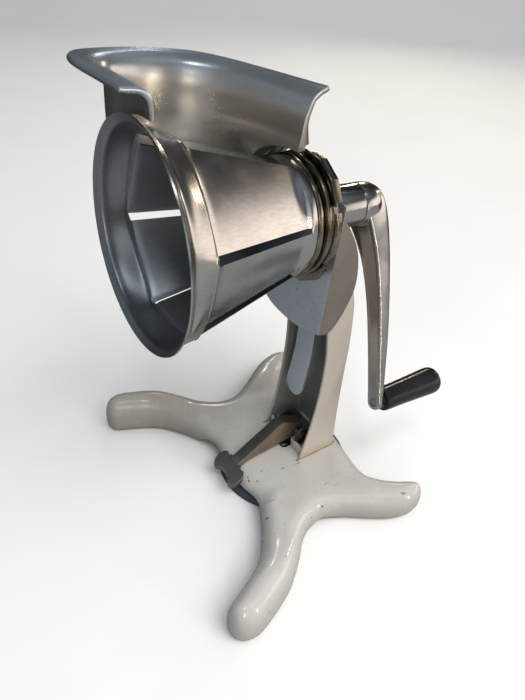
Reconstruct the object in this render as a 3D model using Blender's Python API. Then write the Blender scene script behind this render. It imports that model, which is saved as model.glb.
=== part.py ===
"""Hand-cranked rotary slicer on a four-legged suction stand. Metres, +Z up.

The cone mouth faces -Y, the crank is on +Y, the hopper on the -X side.
Everything of the head is modelled about the shaft axis, which rises 5 degrees to the front.
"""
import math
import bmesh
import bpy
import numpy as np
from mathutils import Vector
from mathutils.geometry import delaunay_2d_cdt

for ob in list(bpy.data.objects):
    bpy.data.objects.remove(ob, do_unlink=True)

MM = 0.001
# ---- driving dimensions, mm ----
MID_Y = -99.95         # shift that puts the middle of the footprint on the origin
AXIS_Z = 239.8         # height of the mouth centre
AXIS_TILT = -5.0       # degrees about X: the shaft falls to the rear
RIM_R = 62.5           # radius of the cone mouth
CONE_R1, CONE_Y1 = 56.4, 17.0   # blade circle at the front of the slots
CONE_R2, CONE_Y2 = 35.7, 91.4   # blade circle at the small end
SHEET = 0.9            # cone sheet thickness
SLOTS, SLOT_0 = 6, 15.0         # number of slots, angle of the first
SLOT_DEG = 4.0         # width of a slot
STEP_1, STEP_2 = 3.4, 2.6       # how far each panel sinks below the next blade
PANEL_FLAT = 4.4       # how much flatter than the blade circle a panel is halfway, at the front
HUB_Y = 108.0          # centre of the base hub and of the cup
PLATE_Y = 115.0        # front face of the head casting behind the drive ring
SIDE_X = 28.5          # machined side face of the casting
CRANK_R, CRANK_DEG = 141.7, 22.8
ARM_END_Y = 158.6      # middle of the arm's thickness at the knob pin
WEB = 2.4              # thickness of the column sheet
COL_X = 25.0           # half width of the column
DECK = 24.0            # top of the base hub
PIVOT_Y, PIVOT_Z = 116.0, 36.0  # lever pivot
GAP = 0.3

COLL = bpy.context.scene.collection


def material(name, rgb, rough, metal):
    m = bpy.data.materials.new(name)
    m.use_nodes = True
    b = m.node_tree.nodes["Principled BSDF"]
    b.inputs["Base Color"].default_value = (*rgb, 1.0)
    b.inputs["Roughness"].default_value = rough
    b.inputs["Metallic"].default_value = metal
    return m


def empty(name, loc=(0, 0, 0), rot_x=0.0, parent=None):
    e = bpy.data.objects.new(name, None)
    COLL.objects.link(e)
    e.location = [c * MM for c in loc]
    e.rotation_euler = (math.radians(rot_x), 0, 0)
    e.parent = parent
    return e


ROOT = empty("stand_origin", (0, MID_Y, 0))
HEAD = empty("shaft_axis", (0, 0, AXIS_Z), AXIS_TILT, ROOT)


def add(name, verts, faces, mat, parent, sharp=35.0, origin=(0, 0, 0), cutter=False):
    """One named closed body; verts in mm in the parent's frame."""
    me = bpy.data.meshes.new(name)
    o = np.array(origin, float)
    me.from_pydata([tuple((np.array(v) - o) * MM) for v in verts], [], [list(f) for f in faces])
    me.update()
    ob = bpy.data.objects.new(name, me)
    COLL.objects.link(ob)
    ob.parent = parent
    ob.location = tuple(o * MM)
    if cutter:
        ob.hide_render = True
        ob.display_type = 'WIRE'
        return ob
    if mat:
        me.materials.append(mat)
    me.shade_smooth()
    me.set_sharp_from_angle(angle=math.radians(sharp))
    return ob


def boolean(target, other, op):
    m = target.modifiers.new(op.lower() + "_" + other.name, 'BOOLEAN')
    m.operation = op
    m.solver = 'EXACT'
    m.object = other


def helper(name, verts, faces, parent):
    return add(name, verts, faces, None, parent, cutter=True)


def lathe(profile, n=64, y_axis=True, centre=(0, 0)):
    """Closed outline of (radius, height) pairs turned about Y (or Z). Radius 0 points weld."""
    prof = list(profile)
    verts, idx = [], []
    for r, h in prof:
        if r < 1e-6:
            verts.append((centre[0], h, centre[1]) if y_axis else (centre[0], centre[1], h))
            idx.append([len(verts) - 1] * n)
            continue
        row = []
        for k in range(n):
            a = 2 * math.pi * k / n
            p, q = r * math.cos(a), r * math.sin(a)
            row.append(len(verts))
            verts.append((centre[0] + p, h, centre[1] + q) if y_axis
                         else (centre[0] + p, centre[1] + q, h))
        idx.append(row)
    faces = []
    m = len(prof)
    for i in range(m):
        a, b = idx[i], idx[(i + 1) % m]
        for k in range(n):
            k2 = (k + 1) % n
            f = []
            for v in (a[k], b[k], b[k2], a[k2]):
                if v not in f:
                    f.append(v)
            if len(f) > 2:
                faces.append(f if y_axis else f[::-1])
    return verts, orient(verts, faces)


def orient(verts, faces):
    """Turn every face outward by the sign of the enclosed volume."""
    v = np.array(verts, float)
    vol = 0.0
    for f in faces:
        for i in range(1, len(f) - 1):
            vol += np.dot(v[f[0]], np.cross(v[f[i]], v[f[i + 1]]))
    return faces if vol > 0 else [f[::-1] for f in faces]


def prism(outline, lo, hi, axis):
    """Outline of 2-D points pushed along axis 0, 1 or 2 from lo to hi."""
    def put(p, h):
        q = list(p)
        q.insert(axis, h)
        return tuple(q)
    n = len(outline)
    verts = [put(p, lo) for p in outline] + [put(p, hi) for p in outline]
    faces = [list(range(n))[::-1], list(range(n, 2 * n))]
    faces += [[i, (i + 1) % n, n + (i + 1) % n, n + i] for i in range(n)]
    return verts, orient(verts, faces)


def box(x, y, z):
    return prism([(x[0], y[0]), (x[1], y[0]), (x[1], y[1]), (x[0], y[1])], z[0], z[1], 2)


def loft(rings, wrap=True):
    """Skin equal-length rings of 3-D points, ends capped."""
    n = len(rings[0])
    verts = [tuple(p) for r in rings for p in r]
    faces = []
    for i in range(len(rings) - 1):
        for k in range(n):
            k2 = (k + 1) % n
            faces.append([i * n + k, i * n + k2, (i + 1) * n + k2, (i + 1) * n + k])
    faces.append(list(range(n))[::-1])
    faces.append([(len(rings) - 1) * n + k for k in range(n)])
    return verts, orient(verts, faces)


def smooth_curve(pts, n, closed=False):
    """Catmull-Rom through pts, n points equally spaced along it."""
    p = np.array(pts, float)
    m = len(p)
    out = []
    last = m if closed else m - 1
    for i in range(last):
        if closed:
            a, b, c, d = p[(i - 1) % m], p[i], p[(i + 1) % m], p[(i + 2) % m]
        else:
            a, b, c, d = p[max(i - 1, 0)], p[i], p[i + 1], p[min(i + 2, m - 1)]
        for k in range(12):
            t = k / 12
            out.append(0.5 * (2 * b + (c - a) * t + (2 * a - 5 * b + 4 * c - d) * t * t
                              + (3 * b - 3 * c + d - a) * t ** 3))
    out.append(p[0] if closed else p[-1])
    out = np.array(out)
    s = np.r_[0, np.cumsum(np.linalg.norm(np.diff(out, axis=0), axis=1))]
    u = np.linspace(0, s[-1], n + 1 if closed else n)
    q = np.stack([np.interp(u, s, out[:, k]) for k in range(p.shape[1])], 1)
    return q[:-1] if closed else q


def rounded(half_x, half_y, r, n=6):
    """Rounded rectangle outline about the origin."""
    pts = []
    for cx, cy, a0 in ((1, 1, 0), (-1, 1, 90), (-1, -1, 180), (1, -1, 270)):
        for k in range(n + 1):
            a = math.radians(a0 + 90 * k / n)
            pts.append((cx * (half_x - r) + r * math.cos(a), cy * (half_y - r) + r * math.sin(a)))
    return pts


def circle(c, r, n=24):
    return [(c[0] + r * math.cos(2 * math.pi * k / n), c[1] + r * math.sin(2 * math.pi * k / n))
            for k in range(n)]


# ---------------------------------------------------------------- materials
WHITE = material("cream_enamel", (0.80, 0.77, 0.71), 0.28, 0.0)
BEIGE = material("column_enamel", (0.74, 0.69, 0.63), 0.30, 0.0)
CAST = material("cast_aluminium", (0.55, 0.56, 0.58), 0.32, 1.0)
POLISH = material("polished_aluminium", (0.66, 0.66, 0.67), 0.16, 1.0)
TIN = material("cone_steel", (0.60, 0.60, 0.60), 0.26, 1.0)
NICKEL = material("tarnished_nickel", (0.52, 0.47, 0.36), 0.24, 1.0)
STEEL = material("plain_steel", (0.42, 0.42, 0.42), 0.35, 1.0)
LEVER = material("lever_metal", (0.36, 0.35, 0.31), 0.42, 0.8)
BUSH = material("bronze_bush", (0.50, 0.36, 0.18), 0.40, 1.0)
RUBBER = material("cup_rubber", (0.07, 0.08, 0.10), 0.60, 0.0)
BLACK = material("black_knob", (0.02, 0.02, 0.022), 0.18, 0.0)

# ---------------------------------------------------------------- base casting
LEG_OUTLINE = [(0, 57.5), (16, 58.5), (29, 61.5), (38, 60.5), (49.5, 55), (61.5, 47.8), (76, 36.5),
               (84, 27), (90.5, 15), (95.5, 4), (99, -3), (104.5, -6.3), (111, -6), (116, -2.5),
               (118.8, 4), (118.5, 13),
               (113, 27.5), (104.5, 44.5), (92, 60), (79, 73), (72, 84.5), (69.8, 96), (73.5, 107.5),
               (80, 118.5), (88.5, 131), (97, 145.5), (100.8, 159), (100, 169.5), (96.5, 175.8), (91.5, 178),
               (86, 175), (79, 164.5), (71.5, 155), (62, 147.8), (50, 146.5), (36, 148.5), (15, 151)]


def base_outline(n=140):
    right = LEG_OUTLINE
    left = [(-x, y) for x, y in reversed(right[1:])]
    return smooth_curve(right + [(0, 151.5)] + left, n, closed=True)


def outline_distance(outline, pts):
    a = outline
    ab = np.roll(a, -1, 0) - a
    d = pts[:, None, :] - a[None]
    t = np.clip((d * ab[None]).sum(2) / (ab ** 2).sum(1)[None], 0, 1)
    return np.linalg.norm(d - t[..., None] * ab[None], axis=2).min(1)


def blend(a, b, x):
    t = np.clip((x - a) / (b - a), 0, 1)
    return t * t * (3 - 2 * t)


def base_heights(p, d):
    """Upper and lower surface of the casting for plan points p at edge distance d."""
    r = np.hypot(p[:, 0], p[:, 1] - HUB_Y)
    front = blend(100, 84, p[:, 1]) * blend(48, 34, np.abs(p[:, 0]))
    width = 12.5 + 13.5 * front
    toe = blend(86, 130, r)
    crown = DECK + 1.5 * blend(58, 85, r) + toe * (2.0 + 5.0 * blend(105, 60, p[:, 1]))
    hub = blend(74, 61, r)
    under = 15.0 * hub
    edge = 8.0 + 3.0 * hub
    t = np.clip(d / width, 0, 1)
    top = edge + (crown - edge) * (1 - (1 - t) ** 2.4) ** (1 / 2.4)
    s = np.clip(d / 4.5, 0, 1)
    low = edge - (edge - under) * np.sqrt(1 - (1 - s) ** 2)
    return top, low


def base_casting():
    out = base_outline()
    nxt, prv = np.roll(out, -1, 0), np.roll(out, 1, 0)
    tan = nxt - prv
    tan /= np.linalg.norm(tan, axis=1)[:, None]
    nrm = np.stack([-tan[:, 1], tan[:, 0]], 1)
    rings = [out]
    for dd in (0.5, 1.9, 4.6):
        rings.append(out + nrm * dd)
    step = 8.5
    xs, ys = np.arange(-126, 127, step), np.arange(-14, 184, step)
    g = np.array([(x + (step / 2 if j % 2 else 0), y) for j, y in enumerate(ys) for x in xs])
    inside = point_in(out, g)
    g = g[inside]
    g = g[outline_distance(out, g) > 8.6]
    pts = np.vstack(rings + [g])
    n = len(out)
    edges = [(k, (k + 1) % n) for k in range(n)]
    res = delaunay_2d_cdt([Vector(p) for p in pts], edges, [], 1, 1e-5)
    p2 = np.array([tuple(v) for v in res[0]])
    tris = [list(f) for f in res[2]]
    d = outline_distance(out, p2)
    d[d < 1e-3] = 0.0
    top, low = base_heights(p2, d)
    m = len(p2)
    rim = d == 0.0
    verts = [(p[0], p[1], z) for p, z in zip(p2, top)]
    where = {}
    for i in range(m):
        if rim[i]:
            where[i] = i
        else:
            where[i] = len(verts)
            verts.append((p2[i][0], p2[i][1], low[i]))
    faces = tris + [[where[i] for i in f][::-1] for f in tris]
    ob = add("base_casting", verts, orient(verts, faces), WHITE, ROOT, sharp=50)
    merge_flat(ob)
    boolean(ob, helper("cut_lever_slot", *prism(rounded(8.5, 12.5, 4.0), 0, 40, 2), ROOT), 'DIFFERENCE')
    bpy.data.objects["cut_lever_slot"].location = (0, 114 * MM, 0)
    for sx in (-1, 1):
        boolean(ob, helper("cut_screw_%d" % (sx + 1),
                           *lathe([(0, 0), (2.7, 0), (2.7, 60), (0, 60)], 20, False, (17.8 * sx, 125)),
                           ROOT), 'DIFFERENCE')
    return ob


def merge_flat(ob):
    """Join the level triangles under the feet into one face each."""
    bm = bmesh.new()
    bm.from_mesh(ob.data)
    flat = [f for f in bm.faces if all(abs(v.co.z) < 1e-7 for v in f.verts)]
    bmesh.ops.dissolve_faces(bm, faces=flat, use_verts=False)
    bm.to_mesh(ob.data)
    bm.free()


def point_in(poly, pts):
    x, y = pts[:, 0], pts[:, 1]
    inside = np.zeros(len(pts), bool)
    n = len(poly)
    for i in range(n):
        (x1, y1), (x2, y2) = poly[i], poly[(i + 1) % n]
        if y1 == y2:
            continue
        cross = (y1 > y) != (y2 > y)
        inside ^= cross & (x < (x2 - x1) * (y - y1) / (y2 - y1) + x1)
    return inside


# ---------------------------------------------------------------- column
COLUMN_FRONT = [(106.5, 24.3), (110, 38), (114.5, 58), (118, 80), (120.2, 104), (120.6, 128),
                (118.5, 148), (115, 164), (114, 186)]
COLUMN_BACK = [(126, 189), (135, 183), (139.5, 172), (141.5, 158), (142.8, 130), (142.2, 110),
               (141.6, 64), (142.4, 24.3)]


def keel_outline(grow=0.0):
    pts = [(PLATE_Y, 15.0), (118.5, 4.5), (122.6, -0.5), (128.3, -8.7), (132.7, -17), (135.5, -25.5),
           (137.3, -35), (137.6, -44), (136.4, -51), (133.2, -60.3), (129.8, -67.2), (126, -73),
           (121.8, -76.6), (PLATE_Y, -75.8)]
    if grow:
        c = np.array([124.0, -38.0])
        pts = [tuple(c + (np.array(p) - c) * (1 + grow / np.linalg.norm(np.array(p) - c))) for p in pts]
    return pts


def keel_solid(name, grow, mat, cutter):
    """The bow-shaped block under the ring: side outline swept across, deepest off centre."""
    rings = []
    side = keel_outline(grow)
    for x in (SIDE_X + grow, 20, 10, 0, -10, -20, -29, -36, -40 - grow):
        drop = -8.6 * (1 - ((x + 12) / 40.5) ** 2)
        shrink = 1.0 if x > -30 else (0.93 if x > -38 else 0.80)
        ring = []
        for y, z in side:
            low = min(1.0, max(0.0, (-z - 20) / 56))
            ring.append((x, PLATE_Y + (y - PLATE_Y) * shrink, (z + drop * low) * (shrink * 0.25 + 0.75)))
        rings.append(ring)
    v, f = loft(rings)
    return add(name, v, f, mat, HEAD, sharp=40, cutter=cutter)


def column():
    front = smooth_curve(COLUMN_FRONT, 16)
    back = smooth_curve(COLUMN_BACK, 16)
    side = [tuple(p) for p in front] + [tuple(p) for p in back]
    v, f = prism(side, -COL_X, COL_X, 0)
    ob = add("column_channel", v, f, BEIGE, ROOT, sharp=40)
    inner_back = [(y - WEB, z) for y, z in back]
    core = [(y - 30, z) for y, z in front]
    core[0] = (core[0][0], core[0][1] - 40)
    core[-1] = (core[-1][0], core[-1][1] + 40)
    top_in = (inner_back[0][0], inner_back[0][1] + 40)
    low_in = (inner_back[-1][0], inner_back[-1][1] - 40)
    hollow = core + [top_in] + inner_back + [low_in]
    boolean(ob, helper("cut_channel", *prism(hollow, -(COL_X - WEB), COL_X - WEB, 0), ROOT), 'DIFFERENCE')
    boolean(ob, keel_solid("cut_keel", 0.5, None, True), 'DIFFERENCE')
    return ob


def front_lip():
    """Low lip closing the channel's foot either side of the lever."""
    for sx, name in ((1, "foot_lip_near"), (-1, "foot_lip_far")):
        out = [(8.8 * sx, 109.0), (22.2 * sx, 109.6), (22.2 * sx, 112.0), (10.5 * sx, 111.6),
               (8.8 * sx, 118.0), (6.6 * sx, 118.0), (6.8 * sx, 110.5)]
        v, f = prism(out, DECK + GAP, DECK + 7.5, 2)
        add(name, v, f, WHITE, ROOT)


def foot_bracket():
    """U bracket that carries the lever pin and screws the column to the base."""
    v, f = box((-21.8, 21.8), (119, 136), (DECK + GAP, DECK + 2.6))
    ob = add("foot_bracket", v, f, STEEL, ROOT)
    for sx in (-1, 1):
        ear = [(109.2, PIVOT_Z), (110.4, 32.4), (112.8, 32.2), (112.8, DECK + 1), (134, DECK + 1),
               (134, 30), (122, 41), (116, 43), (110.8, 40.8)]
        v, f = prism(ear, 11.2 * sx, 13.4 * sx, 0)
        boolean(ob, helper("join_ear_%d" % (sx + 1), v, f, ROOT), 'UNION')
        boolean(ob, helper("cut_bracket_%d" % (sx + 1),
                           *lathe([(0, 0), (2.4, 0), (2.4, 60), (0, 60)], 20, False, (17.8 * sx, 125)),
                           ROOT), 'DIFFERENCE')
    pin = [(p[0] + PIVOT_Y, p[1] + PIVOT_Z) for p in circle((0, 0), 2.8, 20)]
    boolean(ob, helper("cut_pin_hole", *prism(pin, -20, 20, 0), ROOT), 'DIFFERENCE')
    for sx, name in ((-1, "bracket_screw_far"), (1, "bracket_screw_near")):
        prof = [(0, 15.8), (2.0, 15.8), (2.0, 27.0), (3.9, 27.0), (3.9, 28.6), (3.0, 29.8), (0, 30.2)]
        add(name, *lathe(prof, 20, False, (17.8 * sx, 125)), STEEL, ROOT)


# ---------------------------------------------------------------- suction parts
def suction():
    cup = [(0, 8.0), (30, 7.8), (43, 5.8), (49.5, 2.2), (53.0, 0.2), (54.6, 0.2), (54.2, 2.4), (51.0, 5.6),
           (45.5, 8.4), (38, 9.8), (29, 11.0), (5.2, 11.0), (5.2, 9.4), (0, 9.4)]
    add("suction_cup", *lathe(cup, 40, False, (0, HUB_Y)), RUBBER, ROOT)
    # the stud's foot is moulded into the cup, under a metal disc
    disc = [(3.3, 11.3), (24, 11.3), (24, 12.1), (3.3, 12.1)]
    add("cup_disc", *lathe(disc, 32, False, (0, HUB_Y)), STEEL, ROOT)
    stud = [(0, 9.7), (4.9, 9.7), (4.9, 11.0), (3.0, 11.0), (3.0, 19.6), (5.4, 19.6), (5.4, 22.0), (4.6, 22.8),
            (0, 22.8)]
    add("cup_stud", *lathe(stud, 20, False, (0, HUB_Y)), STEEL, ROOT)
    add("stud_spring", *coil(4.3, 0.5, 15.4, 18.8, 2.5), STEEL, ROOT)


def coil(r, wire, z0, z1, turns, n=14, m=6):
    rings = []
    steps = int(turns * n)
    for i in range(steps + 1):
        a = 2 * math.pi * i / n
        z = z0 + (z1 - z0) * i / steps
        ring = []
        for k in range(m):
            b = 2 * math.pi * k / m
            rr = r + wire * math.cos(b)
            ring.append((rr * math.cos(a), HUB_Y + rr * math.sin(a), z + wire * math.sin(b)))
        rings.append(ring)
    return loft(rings)


def lever():
    boss = [(PIVOT_Y + 7.6 * math.cos(math.radians(a)), PIVOT_Z + 7.6 * math.sin(math.radians(a)))
            for a in range(-95, 56, 15)]
    side = [(60.0, 19.6), (70, 23.6), (80, 25.2), (95, 26.6), (108, 28.2)] + boss \
        + [(112.0, 46.4), (105.4, 50.2), (103.0, 50.4), (100.4, 49.4), (60.0, 25.4)]
    v, f = prism(side, -5.0, 5.0, 0)
    ob = add("suction_lever", v, f, LEVER, ROOT, origin=(0, PIVOT_Y, PIVOT_Z), sharp=30)
    half = [(0, 62.5), (6.5, 62.5), (9, 61.0), (12.5, 61.5), (15.5, 59), (16.5, 55), (15, 50.6), (11.5, 48.4),
            (8.2, 49.0), (5, 51.0), (0, 51.6)]
    plan = smooth_curve(half + [(-x, y) for x, y in reversed(half[1:-1])], 44, closed=True)
    top = [(x, y, 25.2 - 0.59 * (62.5 - y)) for x, y in plan]
    low = [(x, y, z - 4.6) for x, y, z in top]
    v, f = loft([low, top])
    boolean(ob, helper("join_lever_head", v, f, ROOT), 'UNION')
    pin = [(p[0] + PIVOT_Y, p[1] + PIVOT_Z) for p in circle((0, 0), 2.9, 20)]
    boolean(ob, helper("cut_lever_bore", *prism(pin, -20, 20, 0), ROOT), 'DIFFERENCE')
    pin = [(p[0] + PIVOT_Y, p[1] + PIVOT_Z) for p in circle((0, 0), 2.5, 20)]
    add("lever_pin", *prism(pin, -15.4, 15.4, 0), STEEL, ROOT)
    for sx, name in ((-1, "pin_clip_far"), (1, "pin_clip_near")):
        ring_o = [(p[0] + PIVOT_Y, p[1] + PIVOT_Z) for p in circle((0, 0), 4.2, 20)]
        a, b = sorted((13.7 * sx, 14.7 * sx))
        ob2 = add(name, *prism(ring_o, a, b, 0), STEEL, ROOT)
        hole = [(p[0] + PIVOT_Y, p[1] + PIVOT_Z) for p in circle((0, 0), 2.8, 20)]
        boolean(ob2, helper("cut_" + name, *prism(hole, a - 2, b + 2, 0), ROOT), 'DIFFERENCE')


# ---------------------------------------------------------------- head casting
TOP_RIM = [(3, -7.5), (-25, -9.4), (-48, -10.5), (-63, -8), (-73.5, 3), (-78.3, 31), (-73, 59), (-56, 80),
           (-29, 96), (3, 108.9)]
NECK = [(3, 7.8), (-25, 6.6), (-44, 5.6), (-56, 9), (-64, 20), (-67, 38), (-63, 57), (-49, 75),
        (-27, 87.5), (3, 97.5)]
MIDDLE = [(3, 7.6), (-25, 7.0), (-43, 6.4), (-55, 9), (-63, 18), (-66, 36), (-61, 55), (-47, 73.5),
          (-26, 86.5), (3, 95.7)]
LOWER = [(3, 7.6), (-25, 7.6), (-45, 8.0), (-58, 10), (-64, 18), (-62, 36), (-56, 56), (-46, 76),
         (-30, 92), (3, 98)]
# lip sections at the two ends: share of the overhang, depth below the rim
LIP_FRONT = [(1.0, 0.0), (0.64, 0.2), (0.37, 0.7), (0.16, 2.7), (0.04, 5.7), (0.0, 10.2), (0.0, 18.0)]
LIP_REAR = [(1.0, 0.0), (0.84, 0.9), (0.63, 2.1), (0.28, 5.6), (0.11, 10.8), (0.0, 15.0), (-0.06, 21.0)]
WALL_Z = [18, 38, 40, 44, 48, 54, 60, 66, 80]
WALL_EXTRA = [5.0, 9.5, 8.7, 6.2, 3.6, 1.4, 0.8, 0.4, 0.0]   # added outside at the rear end
HOPPER_T = 3.0


def hopper_shell():
    """Bent wall with an outward lip; the rear end thickens towards the drive ring."""
    n = 36
    neck, rim, middle = smooth_curve(NECK, n), smooth_curve(TOP_RIM, n), smooth_curve(MIDDLE, n)
    k = np.arange(n)
    top = 75.2 - 0.9 * blend(0, 14, k) - 2.0 * blend(62, 108, rim[:, 1])
    along = blend(4, n - 8, k)
    grid = [[(x, y, z) for x, y in smooth_curve(c, n)] for z, c in ((-12, LOWER), (18, LOWER), (38, MIDDLE))]
    grid.append([(*((middle[j] + neck[j]) / 2), 47.0) for j in range(n)])
    for (ta, da), (tb, db) in zip(reversed(LIP_FRONT), reversed(LIP_REAR)):
        t, d = ta + (tb - ta) * along, da + (db - da) * along
        grid.append([(*(neck[j] * (1 - t[j]) + rim[j] * t[j]), top[j] - d[j]) for j in range(n)])
    g = np.array(grid)
    nn = np.cross(np.gradient(g, axis=1), np.gradient(g, axis=0))
    nn /= np.linalg.norm(nn, axis=2)[..., None]
    rear = blend(n - 11, n - 1, k)[None, :]
    extra = (rear * np.interp(g[..., 2], WALL_Z, WALL_EXTRA))[..., None]
    a, b = g + nn * HOPPER_T / 2, g - nn * (HOPPER_T / 2 + extra)
    rows = len(grid)
    verts = [tuple(p) for r in a for p in r] + [tuple(p) for r in b for p in r]
    off = rows * n
    faces = []
    for i in range(rows - 1):
        for k in range(n - 1):
            q = [i * n + k, i * n + k + 1, (i + 1) * n + k + 1, (i + 1) * n + k]
            faces.append(q)
            faces.append([off + j for j in q][::-1])
    border = [k for k in range(n)] + [i * n + n - 1 for i in range(1, rows)] \
        + [(rows - 1) * n + k for k in range(n - 2, -1, -1)] + [i * n for i in range(rows - 2, 0, -1)]
    m = len(border)
    for k in range(m):
        p, q = border[k], border[(k + 1) % m]
        faces.append([q, p, off + p, off + q])
    return verts, orient(verts, faces)


def sector(r0, r1, y0, y1, a0, a1, n=20):
    rings = []
    for k in range(n + 1):
        a = math.radians(a0 + (a1 - a0) * k / n)
        c, s = math.cos(a), math.sin(a)
        rings.append([(r0 * c, y0, r0 * s), (r1 * c, y0, r1 * s), (r1 * c, y1, r1 * s), (r0 * c, y1, r0 * s)])
    return loft(rings)


def head_casting():
    ob = keel_solid("head_casting", 0.0, CAST, False)
    plate = [(0, 109.0), (18, 109.0), (20.5, 111.5), (20.5, 119.0), (17.5, 122.3), (0, 122.3)]
    boolean(ob, helper("join_plate", *lathe(plate, 40), HEAD), 'UNION')
    boolean(ob, helper("join_shroud", *sector(41, 46.5, 98.5, 112, 112, 236), HEAD), 'UNION')
    boolean(ob, helper("join_spider", *sector(12, 46.1, 111.1, 121, 150, 232), HEAD), 'UNION')
    boolean(ob, helper("join_hopper", *hopper_shell(), HEAD), 'UNION')
    front = RIM_R + 1.6
    clear = [(0, -30), (front, -30), (front, 3.6), (61.8, 4.4), (39.7, 92), (39.7, 99.8), (42.4, 99.8),
             (42.4, 108.3), (7.2, 108.3), (7.2, 118.0), (14.0, 118.0), (14.0, 170), (0, 170)]
    boolean(ob, helper("cut_clear", *lathe(clear, 64), HEAD), 'DIFFERENCE')
    return ob


def tongue():
    """Strap cast under the head that hangs inside the channel."""
    spine = smooth_curve([(121.5, 141), (121.0, 128), (120.0, 114), (117.6, 100), (115.0, 88), (114.0, 76)], 12)
    rings = []
    for i, (y, z) in enumerate(spine):
        w = 9.4 if i < 9 else (9.4, 8.6, 4.4)[i - 9]
        a = [(x, y + 1.6 * (1 if k < 2 else -1), z) for k, x in enumerate((-w, w, w, -w))]
        rings.append(a)
    ob = add("head_tongue", *loft(rings), CAST, ROOT, sharp=40)
    boolean(ob, keel_solid("cut_keel_b", 0.4, None, True), 'DIFFERENCE')


# ---------------------------------------------------------------- bearing, shaft, drive ring
def bearing():
    barrel = [(10.3, 118.4), (13.7, 118.4), (13.7, 147.3), (13.3, 147.9), (10.3, 147.9)]
    add("bearing_barrel", *lathe(barrel, 40), POLISH, HEAD)
    for name, y0, y1 in (("bush_front", 118.6, 128.0), ("bush_rear", 138.0, 147.6)):
        add(name, *lathe([(6.9, y0), (10.0, y0), (10.0, y1), (6.9, y1)], 28), BUSH, HEAD)
    shaft = [(0, 107.8), (6.5, 107.8), (6.5, 152.4), (4.8, 152.4), (4.8, 160.2), (4.0, 161.0), (0, 161.0)]
    add("drive_shaft", *lathe(shaft, 28), STEEL, HEAD)


def drive_ring():
    prof = [(0, 84.6), (10.4, 84.6), (11.4, 85.6), (11.4, 97.6), (33.4, 97.6), (36.4, 98.2), (37.0, 99.4),
            (36.6, 101.0), (35.2, 101.6), (35.0, 102.6), (36.6, 103.2), (37.4, 104.0), (37.4, 107.4), (0, 107.4)]
    ob = add("drive_ring", *lathe(prof, 48), NICKEL, HEAD, sharp=25)
    for k in range(3):
        mid = 60 + 120 * k
        lug = []
        for i, (rad, da) in enumerate(((39.6, -31), (40.9, -11), (41.2, -10), (41.2, 10), (40.9, 11), (39.6, 31))):
            a = math.radians(mid + da)
            lug.append((rad * math.cos(a), rad * math.sin(a)))
        for da in (31, 15, 0, -15, -31):
            a = math.radians(mid + da)
            lug.append((33.0 * math.cos(a), 33.0 * math.sin(a)))
        boolean(ob, helper("join_lug_%d" % k, *prism(lug, 101.9, 107.2, 1), HEAD), 'UNION')
    for k in range(6):
        a = math.radians(28.5 + 60 * k)
        c, s = math.cos(a), math.sin(a)
        q = [(34.2, -3.1), (44, -3.1), (44, 3.1), (34.2, 3.1)]
        out = [(x * c - y * s, x * s + y * c) for x, y in q]
        boolean(ob, helper("cut_notch_%d" % k, *prism(out, 102.9, 109, 1), HEAD), 'DIFFERENCE')
    return ob


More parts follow.
